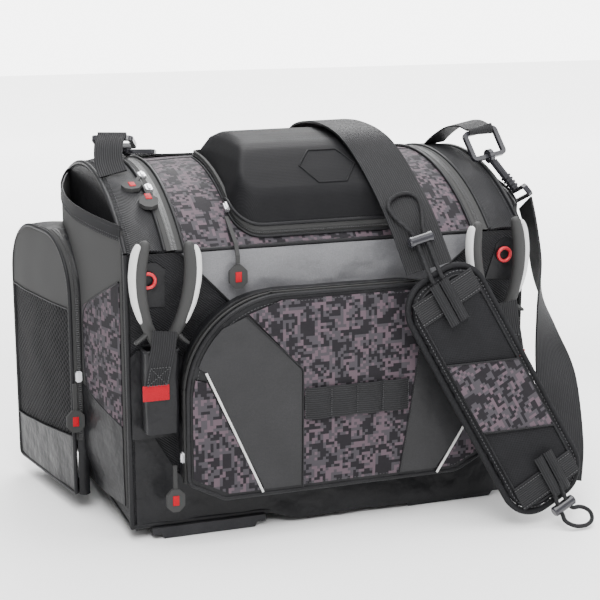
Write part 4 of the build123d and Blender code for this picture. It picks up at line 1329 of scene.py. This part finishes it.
@dataclass
class SidePocket(Sided):
    """A mesh pocket on one side: a wedge-shaped gusset and an arched mesh door."""

    origin: tuple = (252.0, 16.0, 20.0)
    end: tuple = (284.0, 176.0)
    height: float = 280.0
    corner: float = 62.0
    plain_from: float = 205.0
    foot_front: float = 66.0
    foot_back: float = 52.0
    hem: float = 3.0
    pitch: float = 7.0

    @property
    def width(self) -> float:
        """Width of the pocket along its face."""
        return math.dist(self.origin[:2], self.end)

    def at(self, along: float, up: float, lift: float = 0.0) -> Point:
        """A point on the pocket's face, measured from its front lower corner."""
        share = along / self.width
        x = self.origin[0] + (self.end[0] - self.origin[0]) * share
        y = self.origin[1] + (self.end[1] - self.origin[1]) * share
        out = ((self.end[1] - self.origin[1]) / self.width, (self.origin[0] - self.end[0]) / self.width)
        return self.side * (x + out[0] * lift), y + out[1] * lift, self.origin[2] + up

    def outline(self, inset: float = 0.0, count: int = 11) -> list[tuple[float, float]]:
        """The arched outline, anticlockwise seen from outside on the right."""
        radius, shoulder = self.corner - inset, self.height - self.corner
        left, right = inset, self.width - inset
        points = [(left, inset), (right, inset)]
        points += arc_points((right - radius, shoulder), radius, 0, 90, count)
        points += arc_points((left + radius, shoulder), radius, 90, 180, count)
        return points

    def face(self, along: float, up: float, lift: float = 0.0) -> Point:
        """The door's face: its mesh swells between the bindings."""
        a = min(max(along / self.width, 0), 1)
        b = min(max(up / self.height, 0), 1)
        swell = 5.0 * math.sin(math.pi * a) ** 0.7 * math.sin(math.pi * b) ** 0.6
        return self.at(along, up, 3.0 + swell + lift + 0.6 * ripple(a * 6, b * 8, 1.0))

    def mirrored(self, points: Sequence[tuple[float, float]]) -> list[tuple[float, float]]:
        """Points in an order that faces outwards on this side."""
        return list(points) if self.side > 0 else [(-a, b) for a, b in reversed(points)]

    def lay(self, along: float, up: float, lift: float) -> Point:
        """The door's face for a patch cut for this side."""
        return self.face(along if self.side > 0 else -along, up, lift)

    def build(self) -> None:
        """Build and dress the pocket."""
        door = f"door_{self.word}"
        net = patch(f"side_pocket_net_{self.word}", self.mirrored(self.outline(2.0)),
                    lambda a, b: self.lay(a, b, -0.2), 8.0, 1.6)
        dress(net, NET, door, f"mesh_pocket_door_{self.word}")
        near, far = self.hem, self.width - self.hem
        plain = [(near, self.plain_from), (far, self.plain_from)] + self.outline(self.hem)[2:]
        foot = [(near, self.hem), (far, self.hem), (far, self.foot_back), (near, self.foot_front)]
        for part, zone, finish in (("top", plain, NEOPRENE), ("foot", foot, BLACK_FILM)):
            piece = patch(f"side_pocket_{part}_{self.word}", self.mirrored(zone),
                          lambda a, b: self.lay(a, b, 0.9), 8.0, 1.0)
            dress(piece, finish, door)
        line = [self.at(a, b, 3.2) for a, b in evenly(self.outline(1.5), 9.0)]
        pipe(f"side_pocket_piping_{self.word}", line, 2.4, door, True)
        for up, fall in ((self.foot_back, self.foot_front - self.foot_back), (self.plain_from, 0.0)):
            line = [self.face(a, up + fall - fall * a / self.width, 1.4) for a in np.linspace(near, far, 14)]
            pipe(f"side_pocket_seam_{self.word}_{int(up)}", line, 0.9, door)
        self.gusset()

    def gusset(self) -> None:
        """The gusset and the zip along it."""
        loop = evenly(self.outline(), self.pitch)
        count = len(loop)
        sleeve = RodSleeve(self.side)

        def wall(u: float, v: float) -> Point:
            """The gusset's outer face from the sleeve (v = 0) to the door."""
            place = (u * count) % count
            along, up = loop_point(loop, place if self.side > 0 else count - place)
            x, y, z = self.at(along, up)
            share = (y - sleeve.front) / (sleeve.back - sleeve.front)
            inner = SIDE_X + sleeve.bow * math.sin(math.pi * min(max(share, 0), 1)) ** 0.9 * 0.9 - 2
            inner = min(inner, abs(x) - 4)
            swell = 1.2 * math.sin(math.pi * v)
            middle = self.width / 2
            pull = swell / self.width * (along - middle) * 2
            x = self.side * (inner + (abs(x) - inner) * v)
            return x, y + pull, z + swell * (up / self.height * 2 - 1)

        cloth = surface(f"side_pocket_gusset_{self.word}", (count, 8), wall,
                        (self.pitch * count, 50.0), 2.4, closed=True)
        dress(cloth, BLACK_FILM, "root", f"mesh_pocket_gusset_{self.word}")
        front = [(0.0, up) for up in np.linspace(62, self.height - self.corner, 10)]
        front += arc_points((self.corner, self.height - self.corner), self.corner, 180, 95, 12)
        for width, lift, finish, kind in ((13.0, 0.9, ZIP_TAPE, "tape"), (4.6, 1.8, ZIP_COIL, "coil")):
            line, across = [], []
            for along, up in front:
                x, y, z = self.at(along, up, -3.8)
                out = outwards_from((self.width / 2, self.height / 2), (along, up))
                line.append((x, y + out[0] * lift, z + out[1] * lift * 0.8))
                across.append((self.side, 0.0, 0.0))
            dress(ribbon(f"side_zip_{kind}_{self.word}", line, across, width, 1.2, cuts=90), finish)


# ---- Pliers and sheaths --------------------------------------------------------------------
@dataclass
class Pliers(Sided):
    """A pair of pliers in its sheath, with the keeper, the blank label and the pouch behind."""

    middle: float = 190.0
    width: float = 34.0
    depth: float = 27.0
    low: float = 120.0
    high: float = 205.0
    notch: float = 13.0
    corner: float = 5.0
    pivot: tuple = (188.0, 200.0)
    lean: float = 4.0
    plane: float = -99.0

    def build(self) -> None:
        """Build the tool and its sheath."""
        self.tool()
        self.sheath()
        self.trim()

    def spot(self, across: float, up: float, ahead: float = 0.0) -> Point:
        """A point in the tool's own plane or `ahead` of it, measured from its pivot."""
        lean = math.radians(self.lean)
        x = self.pivot[0] + across * math.cos(lean) - up * math.sin(lean)
        z = self.pivot[1] + across * math.sin(lean) + up * math.cos(lean)
        return self.side * x, self.plane - ahead, z

    def tool(self) -> None:
        """Two halves that cross at a rivet, each with a jaw, a handle, a guard and a soft grip."""
        arm = ((3, 0), (8, 13), (17, 31), (24, 54), (26.5, 78), (25, 98), (21, 114))
        soft = ((21, 30), (29, 52), (32.6, 76), (31.6, 98), (28, 110))
        bite = ((2, 4), (6.2, -14), (5.6, -38), (5, -59))
        for out, half, body in ((1, "outer", f"pliers_{self.word}"),
                                (-1, "inner", f"pliers_jaw_{self.word}")):
            handle = limb(f"pliers_{half}_handle_{self.word}", [self.spot(out * a, b) for a, b in arm],
                          (10, 11, 12.5, 14.5, 15, 14, 11), (0, 1, 0), 11.6)
            guard = limb(f"pliers_{half}_guard_{self.word}",
                         [self.spot(out * a, b) for a, b in ((12, 24), (20, 16), (28, 10))], (7, 5, 3.4),
                         (0, 1, 0), 8.0)
            jaw = limb(f"pliers_{half}_jaw_{self.word}", [self.spot(-out * a, b, out * 0.4) for a, b in bite],
                       (13, 9, 7, 4), (0, 1, 0), 9.0)
            boss = slab(f"pliers_{half}_joint_{self.word}", arc_points((0, 0), 8.8, 0, 345, 24),
                        self.spot(0, 0, 0.2 if out > 0 else -5.8), (1, 0, 0), (0, 0, 1), 5.6, 0.8)
            whole = joined(f"pliers_{half}_{self.word}", [handle, guard, jaw, boss])
            dress(whole, TOOL, body, f"pliers_{half}_half_{self.word}")
            grip = limb(f"pliers_{half}_cover_{self.word}", [self.spot(out * a, b) for a, b in soft],
                        (6, 8.5, 9.4, 8.8, 6), (0, 1, 0), 10.4)
            dress(grip, TOOL_GRIP, body, f"pliers_{half}_grip_{self.word}")
        paint(f"pliers_rivet_{self.word}", STEEL)

    def ring(self, turn: float, grow: float = 0.0) -> tuple[float, float]:
        """A point round the sheath's plan."""
        half, deep, radius = self.width / 2 + grow, self.depth / 2 + grow, self.corner
        corners = [(half - radius, radius - deep, -90), (half - radius, deep - radius, 0),
                   (radius - half, deep - radius, 90), (radius - half, radius - deep, 180)]
        points = []
        for x, y, first in corners:
            points += arc_points((x, y), radius, first, first + 90, 6)
        points.append(points[0])
        place = (turn % 1.0) * (len(points) - 1)
        i = int(place)
        a, b = points[i], points[min(i + 1, len(points) - 1)]
        x = a[0] + (b[0] - a[0]) * (place - i)
        y = a[1] + (b[1] - a[1]) * (place - i)
        return self.side * self.middle + x, FRONT_Y - self.depth / 2 + y

    def sheath(self) -> None:
        """The coated sheath with its notched mouth."""
        def place(u: float, v: float) -> Point:
            """A point at share u of the way round and share v of the height."""
            x, y = self.ring(u)
            front = max(0.0, 1 - (y - FRONT_Y + self.depth) / 8)
            dip = self.notch * front * max(1 - abs(x - self.side * self.middle) / 11, 0)
            wave = 0.5 * math.sin(v * 9 + u * 12)
            return x, y + (wave if y < FRONT_Y - 8 else 0), self.low + (self.high - dip - self.low) * v

        body = surface(f"sheath_cloth_{self.word}", (96, 24), place, (112.0, 85.0), 2.3, closed=True)
        dress(body, BLACK_FILM, "root", f"pliers_sheath_{self.word}")
        lip = [place(t / 72, 1.0) for t in range(72)]
        pipe(f"sheath_lip_{self.word}", lip, 1.4, closed=True)

    def trim(self) -> None:
        """The coated pouch behind the sheath, the webbing keeper, its box stitch and the blank label."""
        x, front = self.side * self.middle, FRONT_Y - self.depth
        pouch = [(-27, -96), (27, -96), (27, -16), (20, -8), (-20, -3), (-27, -10)]
        pouch = [(x + a, self.high + b) for a, b in pouch]
        piece = patch(f"pouch_{self.word}", pouch,
                      lambda a, z: (a, FRONT_Y - 3.4 - 0.5 * ripple(a / 14, z / 12), z), 8.0, 1.4)
        dress(piece, BLACK_FILM)
        lean = self.side * 8
        line = [(x - lean * 0.3, front - 1.6, 226), (x, front - 2.2, 207), (x + lean * 0.5, front - 2.0, 188),
                (x + lean, front - 1.8, 168)]
        keeper = ribbon(f"sheath_keeper_{self.word}", line, [(1, 0, 0)] * 4, 25.0, 2.0, 14)
        dress(keeper, WEBBING)
        box = [(-10, 172), (10, 172), (10, 190), (-10, 190), (-10, 172), (10, 190), (10, 172), (-10, 190)]
        line = [(x + lean * (207 - z) / 40 + a, front - 4.4, z) for a, z in box]
        sew(f"sheath_box_stitch_{self.word}", line, pitch=3.0, thread=0.45)
        outline = [(-13.5, -8), (13.5, -8), (13.5, 8), (-13.5, 8)]
        label = slab(f"sheath_label_{self.word}", outline, (x + lean, front - 1.2, 164), (1, 0, 0), (0, 0, 1),
                     1.8, 0.5)
        dress(label, LABEL)


# ---- Strap ---------------------------------------------------------------------------------
@dataclass
class ShoulderStrap:
    """Webbing from ring to ring, the anchor tabs, rings and hooks."""

    width: float = 50.0
    thickness: float = 2.2
    main: tuple = ((-154.6, 143, 368.2), (-149, 151, 365.6), (-137, 156, 361.8), (-110, 157, 359.8),
                   (-40, 157, 359.8), (12, 152, 364.8), (40, 132, 380), (50, 104, 399), (52, 60, 406),
                   (53, 16, 406), (56, -22, 399), (64, -50, 380), (72, -84, 348), (77, -112, 318),
                   (86.5, -134.5, 274))
    main_across: tuple = ((-.88, .46, -.03), (-.66, .75, -.1), (-.21, .98, -.25), (0, 1, -.3), (0, 1, -.3),
                          (.5, 1, -.3), (.9, .45, -.2), (1, .1, 0), (1, 0, 0), (1, 0, 0), (1, .05, .05),
                          (1, 0, .12), (1, 0, .2), (1, 0, .3), (1, 0, .4))
    back: tuple = ((253.5, -26, 316), (255, -41, 285), (253, -61, 243), (247, -95, 193), (243, -128, 140),
                   (238, -154, 78), (230, -166, 40))
    back_across: tuple = ((.2, .9, -.4), (.25, .85, -.45), (.3, .8, -.5), (.75, .5, -.4), (1, .1, 0),
                          (1, 0, .1), (1, 0, .3))
    ring_right: tuple = (216, 5, 380)
    ring_left: tuple = (-190, 74, 391)
    ring_reach: float = 15.5
    bar_radius: float = 3.54
    tab_half: float = 0.9
    tab_gap: float = 0.2

    def build(self) -> None:
        """Build and dress the strap."""
        main = ribbon("strap_main", self.main, self.main_across, self.width, self.thickness, 150)
        dress(main, WEBBING, "strap", "strap_webbing")
        rear = ribbon("strap_rear", self.back, self.back_across, self.width, self.thickness, 90)
        dress(rear, WEBBING, "strap", "strap_return")
        for side in ("left", "right"):
            paint(f"strap_ring_{side}", GLOSS)
            paint(f"strap_hook_{side}", GLOSS)
        self.tabs()

    def tabs(self) -> None:
        """The webbing loops that hold the rings; each runs up from the bag and round its ring's bar."""
        right_across, left_across = (0.97, 0.1, 0.17), (-0.92, 0.38, 0.0)
        right = [(198, 100, dome_height(100, 3)), (201, 82, 383), (207, 58, 396), (210.5, 34, 400)]
        right += self.fold(self.ring_right, (0.2, -0.5, -0.84), (0, -1, 0), 125)
        left = [(-205, 20, dome_height(20, 5)), (-206, 33, 376), (-203, 46, 391)]
        left += self.fold(self.ring_left, (0.35, 0.85, -0.38), (0.382, 0.924, 0), 150)
        for word, line, across, start, end in (
                ("right", right, right_across, (200, 96, 368), (210, 40, 398)),
                ("left", left, left_across, (-205, 22, 362), (-203, 44, 388))):
            piece = ribbon(f"anchor_webbing_{word}", line, [across] * len(line), 30.0, 2 * self.tab_half, 48)
            colour_in(piece, WEBBING)
            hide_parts(f"anchor_tab_{word}")
            [c * MM for c in start]
            [c * MM for c in end]
            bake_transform(piece)
            log.info("anchor webbing %s bends from the bag to the strap", word)

    def fold(self, ring: Point, pull: Point, ahead: Point, first: float) -> list[Point]:
        """Points of the webbing where it passes round a ring's bar.

        Args:
            ring: the ring's middle.
            pull: the way from the ring's bar towards its middle.
            ahead: the level direction in which the webbing passes over the bar.
            first: the angle at which it meets the bar, in degrees.

        Returns:
            Four points round the bar.
        """
        pull = Vector(pull).normalized()
        bar = Vector(ring) - pull * self.ring_reach
        step = math.radians(-30 - first) / 3
        reach = (self.bar_radius + self.tab_half + self.tab_gap) / math.cos(step / 2)
        angles = [math.radians(first) + step * i for i in range(4)]
        return [tuple(bar + Vector(ahead) * reach * math.cos(a) + Vector((0, 0, reach * math.sin(a))))
                for a in angles]


@dataclass
class ShoulderPad:
    """The padded shoulder piece with its binding, bands, camouflage panel and cord channels."""

    top: tuple = (87.0, -137.0, 270.0)
    bottom: tuple = (215.0, -186.0, 22.0)
    length: float = 280.0
    width: float = 98.0
    thickness: float = 12.0
    corner: float = 36.0
    voxel: float = 5.0
    puff_limit: float = 2.2
    skin: float = 2.2

    def __post_init__(self) -> None:
        """Work out the pad's own directions."""
        top, bottom = Vector(self.top), Vector(self.bottom)
        self.axis = (bottom - top).normalized()
        across = Vector((1, 0, 0)) - self.axis * self.axis.x
        self.across = across.normalized()
        self.normal = self.axis.cross(self.across)
        self.middle = (top + bottom) / 2

    def at(self, along: float, across: float, lift: float) -> Point:
        """A point measured along and across the pad and above its middle plane."""
        return tuple(self.middle + self.axis * along + self.across * across + self.normal * lift)

    def rim(self, inset: float, count: int = 8) -> list[tuple[float, float]]:
        """The rounded outline in (along, across), moved inwards by inset."""
        half, wide, radius = self.length / 2 - inset, self.width / 2 - inset, self.corner - inset
        points = arc_points((half - radius, wide - radius), radius, 0, 90, count)
        points += arc_points((radius - half, wide - radius), radius, 90, 180, count)
        points += arc_points((radius - half, radius - wide), radius, 180, 270, count)
        points += arc_points((half - radius, radius - wide), radius, 270, 360, count)
        return points

    def crown(self, along: float, across: float) -> float:
        """Height of the front face above the middle plane: full, and drawn in at the edge."""
        a = min(abs(along) / (self.length / 2), 1)
        b = min(abs(across) / (self.width / 2), 1)
        edge = max((1 - a ** 6) * (1 - b ** 4), 0) ** 0.35
        return 2.6 + 4.4 * edge

    def build(self) -> None:
        """Build and dress the pad."""
        pad = self.body()
        dress(pad, PAD_CLOTH, "strap", "strap_pad")
        line = [self.at(a, b, 0.0) for a, b in self.rim(2.4)]
        dress(rope("pad_binding", line, 3.4, True), BINDING, "strap")
        ring = [self.at(a, b, self.crown(a, b) + 0.5) for a, b in self.rim(12.0)]
        pipe("pad_inner_seam", ring, 0.9, "strap", True)
        ring = [self.at(a, b, self.crown(a, b) + 0.6) for a, b in self.rim(8.0, 12)]
        sew("pad_stitches", ring + ring[:1], "strap", 4.0, 0.45)
        self.bands()
        self.panel()

    def body(self) -> bpy.types.Object:
        """The stuffed body: a rounded slab blown up a little by cloth simulation."""
        start = self.rim(4.5, 7)
        shape = slab("pad_cloth_body", [(b, -a) for a, b in start[::-1]],
                     self.at(0, 0, -self.thickness / 2 + self.skin), self.across, -self.axis,
                     self.thickness - 2 * self.skin, 2.0)
        apply_modifier(shape, "REMESH", mode="VOXEL", voxel_size=self.voxel * MM)
        self.blow_up(shape)
        apply_modifier(shape, "SUBSURF", levels=1, render_levels=1)
        round_off(shape, 80)
        return shape

    def blow_up(self, shape: bpy.types.Object) -> None:
        """Swell the body with cloth pressure; only its faces rise, so the edge stays in the binding."""
        only(shape)
        before = np.array([v.co for v in shape.data.vertices])
        cloth = shape.modifiers.new("Cloth", "CLOTH")
        cloth.settings.use_pressure = True
        cloth.settings.uniform_pressure_force = 4.0
        cloth.settings.effector_weights.gravity = 0.0
        cloth.settings.quality = 6
        for number in range(1, 21):
            bpy.context.scene.frame_set(number)
        bpy.context.view_layer.update()
        bpy.ops.object.modifier_apply(modifier=cloth.name)
        after = np.array([v.co for v in shape.data.vertices])
        rise = np.clip((after - before) @ np.array(self.normal), -self.puff_limit * MM, self.puff_limit * MM)
        log.info("pad faces rose by up to %.2f mm in the simulation", float(np.abs(rise).max()) / MM)
        held = before + rise[:, None] * np.array(self.normal)
        shape.data.vertices.foreach_set("co", held.ravel())
        shape.data.update()
        bpy.context.scene.frame_set(1)

    def bands(self) -> None:
        """Webbing across and along both ends, tacked down over the cords."""
        rows, width = np.linspace(-38, 38, 14), 26.0
        for word, place in (("top", -112.0), ("bottom", 112.0)):
            line = [self.at(place, b, self.crown(place, b) + 1.0) for b in rows]
            piece = ribbon(f"pad_band_{word}", line, [tuple(self.axis)] * 14, width, 1.8, 24)
            dress(piece, WEBBING, "strap")
            for edge in (-1, 1):
                row = [self.at(place + edge * (width / 2 - 2.5), b, self.crown(place, b) + 3.0) for b in rows]
                sew(f"pad_band_stitches_{word}_{edge}".replace("-", "m"), row, "strap", 3.4, 0.45)
        for word, places, middle in (("top", (-131, -84), -2.0), ("bottom", (84, 131), 8.0)):
            for offset in (-6.0, 6.0):
                line = [self.at(a, middle + offset, max(self.crown(a, middle) + 4.2, 9.0))
                        for a in np.linspace(*places, 12)]
                piece = ribbon(f"pad_channel_{word}_{'a' if offset < 0 else 'b'}", line,
                               [tuple(self.across)] * 12, 11.0, 1.4, 20, camber=2.6)
                dress(piece, WEBBING, "strap")

    def panel(self) -> None:
        """The camouflage panel across the middle of the pad."""
        outline = [(-52, -36.5), (30, -36.5), (66, 36.5), (-16, 36.5)]
        piece = patch("pad_camouflage_panel", outline,
                      lambda a, b: self.at(a, b, self.crown(a, b) + 1.4), 8.0, 1.1)
        dress(piece, PAD_CAMO, "strap")
        for word, first, last in (("top", outline[0], outline[3]), ("bottom", outline[1], outline[2])):
            start, run = np.array(first), np.array(last) - first
            places = [start + run * t for t in np.linspace(0, 1, 12)]
            line = [self.at(a, b, self.crown(0, b) + 2.0) for a, b in places]
            pipe(f"pad_panel_seam_{word}", line, 0.9, "strap")


@dataclass
class ElasticCords:
    """The two elastic cord loops on the pad, each with its barrel lock."""

    pad: ShoulderPad
    diameter: float = 4.5
    top_length: float = 0.279
    bottom_length: float = 0.172
    top_legs: tuple = ((75.1, -134.5, 294), (70.7, -125.5, 311), (81.9, -124.8, 313.6), (86.4, -134.3, 296.4))

    def top_route(self) -> list[Point]:
        """The upper loop, from the pad up over the strap and back."""
        at = self.pad.at
        return [at(-108, -8, 8.6), at(-139, -7.5, 10.6), *self.top_legs[:2], (58, -110, 323),
                (53.5, -99, 334.5), (61, -93.5, 342.5), (77, -91.5, 346.5), (88.5, -97, 343),
                (88.5, -110, 329.5),
                *self.top_legs[2:], at(-139, 4, 10.6), at(-110, 3.5, 8.6)]

    def bottom_route(self) -> list[Point]:
        """The lower loop, from the pad down to the floor and back."""
        at = self.pad.at
        return [at(105, 3, 8.6), at(122, 1.5, 11), at(136, -4.5, 12.3), at(152, -4.5, 12.3), (212, -210, 10),
                (223, -214.5, 4.2), (237, -214, 3.6), (247, -208.5, 7), (247, -202.5, 15),
                (236, -199.5, 20.5), at(152, 6.5, 12.3), at(136, 6.5, 12.3), at(122, 10.5, 11),
                at(105, 13, 8.6)]

    def build(self) -> None:
        """Build and dress both cords."""
        for word, route, length in (("top", self.top_route(), self.top_length),
                                    ("bottom", self.bottom_route(), self.bottom_length)):
            cord = spline_object(f"cord_{word}", [route], self.diameter / 2, False, 3, 3, steps=8)
            dress(cord, ELASTIC, "strap", f"elastic_cord_{word}")
            paint(f"cord_lock_{word}", GLOSS)
            [c * MM for c in route[0]]


# ---- Small hardware ------------------------------------------------------------------------
@dataclass
class Fittings:
    """Sliders, pull tags, eyelets, skids and the stiffener."""

    mark_size: tuple = (6.5, 10.5)
    pulls: tuple = ("lid_pull_front", "lid_pull_rear", "case_pull", "pocket_pull", "side_pull_left",
                    "side_pull_right")
    sliders: tuple = ("lid_slider_front", "lid_slider_rear", "case_slider", "pocket_slider",
                      "side_slider_left", "side_slider_right")

    def build(self) -> None:
        """Dress the fittings and put a plain red bar on each tag."""
        for name in self.sliders:
            paint(name, STEEL)
        for name in self.pulls:
            paint(name, RUBBER)
            self.mark(name)
        rings = []
        for side in (-1, 1):
            line = [(side * EYELET_X + EYELET_RING * math.cos(t), FRONT_Y - 2.9,
                     EYELET_Z + EYELET_RING * math.sin(t)) for t in np.arange(0, math.tau, math.tau / 16)]
            rings.append(rope(f"eyelet_{side}".replace("-", "m"), line, 1.9, True))
        dress(joined("eyelet_rings", rings), RED_METAL, "root", "eyelets")
        for side in ("left", "right"):
            paint(f"skid_{side}", SKID)
        paint("base_board", BOARD)

    def mark(self, name: str) -> None:
        """A raised red bar on the face of one tag."""
        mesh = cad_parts[name].data
        points = np.array([v.co for v in mesh.vertices]) / MM
        areas = {}
        for face in mesh.polygons:
            key = tuple(np.round(face.normal, 2))
            areas[key] = areas.get(key, 0.0) + face.area
        ranked = sorted(areas.items(), key=lambda item: -item[1])[:2]
        normal = Vector(max((key for key, _ in ranked), key=lambda k: -k[1] + k[2])).normalized()
        heights = points @ np.array(normal)
        front = points[heights > heights.max() - 0.05]
        centre = (front.min(0) + front.max(0)) / 2
        down = Vector((0, 0, -1)) if abs(normal.z) < 0.9 else Vector((0, -1, 0))
        up = -(down - normal * down.dot(normal)).normalized()
        right = up.cross(normal)
        half, tall = self.mark_size[0] / 2, self.mark_size[1] / 2
        outline = [(-half, -tall), (half, -tall), (half, tall), (-half, tall)]
        piece = slab(f"{name}_mark", outline, Vector(centre) - normal * 0.3, right, up, 0.9, 0.6)
        dress(piece, RED_RUBBER, name)


# ---- Studio --------------------------------------------------------------------------------
@dataclass
class Studio:
    """A pale floor, soft lights and the camera."""

    target: tuple = (0.015, 0.056, 0.205)
    distance: float = 1.7
    azimuth: float = 20.0
    elevation: float = 13.0
    lens: float = 90.0
    ambient: tuple = (0.22, 1.6)
    backdrop: float = 6.0
    floor_glow: float = 3.4
    glow_reach: tuple = (0.7, 3.2)

    def build(self) -> None:
        """Build the floor, the lights and the camera."""
        self.camera()
        self.floor()
        self.world()
        self.light("key_light", (-0.7, -1.9, 2.4), 105.0, 1.6)
        self.light("fill_light", (1.9, -1.3, 1.5), 40.0, 1.6)
        self.light("rim_light", (0.6, 1.9, 2.0), 70.0, 1.4)
        self.light("top_light", (0.0, 0.1, 2.4), 75.0, 1.8)

    def world(self) -> None:
        """A white backdrop that lights the bag less than it shows."""
        world = bpy.data.worlds.new("studio_world")
        world.use_nodes = True
        nodes, links = world.node_tree.nodes, world.node_tree.links
        nodes["Background"].inputs["Color"].default_value = (1, 1, 1, 1)
        path = nodes.new("ShaderNodeLightPath")
        where = nodes.new("ShaderNodeTexCoord")
        part = nodes.new("ShaderNodeSeparateXYZ")
        sky = nodes.new("ShaderNodeMapRange")
        sky.inputs["To Min"].default_value = self.ambient[0]
        sky.inputs["To Max"].default_value = self.ambient[1]
        strength = nodes.new("ShaderNodeMapRange")
        strength.inputs["To Max"].default_value = self.backdrop
        links.new(where.outputs["Generated"], part.inputs["Vector"])
        links.new(part.outputs["Z"], sky.inputs["Value"])
        links.new(sky.outputs["Result"], strength.inputs["To Min"])
        links.new(path.outputs["Is Camera Ray"], strength.inputs["Value"])
        links.new(strength.outputs["Result"], nodes["Background"].inputs["Strength"])
        bpy.context.scene.world = world

    def camera(self) -> None:
        """Aim a camera at the bag."""
        turn, rise = math.radians(self.azimuth), math.radians(self.elevation)
        target = Vector(self.target)
        back = Vector((-math.sin(turn) * math.cos(rise), -math.cos(turn) * math.cos(rise), math.sin(rise)))
        data = bpy.data.cameras.new("camera")
        data.lens = self.lens
        made = bpy.data.objects.new("camera", data)
        bpy.context.scene.collection.objects.link(made)
        made.location = target + back * self.distance
        made.rotation_euler = (-back).to_track_quat("-Z", "Y").to_euler()
        bpy.context.scene.camera = made

    def floor(self) -> None:
        """A pale floor that glows with distance, so that it runs into the backdrop."""
        bpy.ops.object.select_all(action="DESELECT")
        bpy.ops.mesh.primitive_grid_add(x_subdivisions=8, y_subdivisions=8, size=12, location=(0, 0, -0.0005))
        floor = bpy.context.active_object
        floor.name = "floor"
        graph = Graph("floor_paper")
        where = graph.node("TexCoord").outputs["Object"]
        shade = graph.noise(where, 400.0, 2.0)
        graph.plug(Base_Color=graph.ramp(shade, [(0.3, (0.90, 0.90, 0.90)), (0.7, (0.94, 0.94, 0.94))]))
        graph.shader.inputs["Roughness"].default_value = 0.7
        graph.shader.inputs["Emission Color"].default_value = (1, 1, 1, 1)
        away = graph.node("VectorMath", {"Vector": where}, operation="LENGTH").outputs["Value"]
        near, far = self.glow_reach
        glow = graph.node("MapRange", {"Value": away, "From Min": near, "From Max": far,
                                       "To Max": self.floor_glow})
        graph.plug(Emission_Strength=glow.outputs["Result"])
        floor.data.materials.append(graph.material)

    def light(self, name: str, place: Point, power: float, size: float) -> None:
        """One square soft light aimed at the bag."""
        data = bpy.data.lights.new(name, "AREA")
        data.energy = power
        data.size = size
        made = bpy.data.objects.new(name, data)
        bpy.context.scene.collection.objects.link(made)
        made.location = place
        made.rotation_euler = (Vector(self.target) - Vector(place)).to_track_quat("-Z", "Y").to_euler()


def main() -> None:
    """Build every sub-assembly in order and report each piece."""
    logging.basicConfig(level=logging.INFO, format="%(name)s: %(message)s")
    pad = ShoulderPad()
    assemblies = [Studio(), ElasticCords(pad), BodyShell(), TopGussets(), Lid(), MouldedCase(), FrontPocket(),
                  RodSleeve(-1), RodSleeve(1), SidePocket(-1), SidePocket(1), Pliers(-1), Pliers(1),
                  ShoulderStrap(), pad, Fittings()]
    for assembly in assemblies:
        log.info("building %s", type(assembly).__name__)
        assembly.build()
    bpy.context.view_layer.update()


if __name__ == "__main__":
    main()
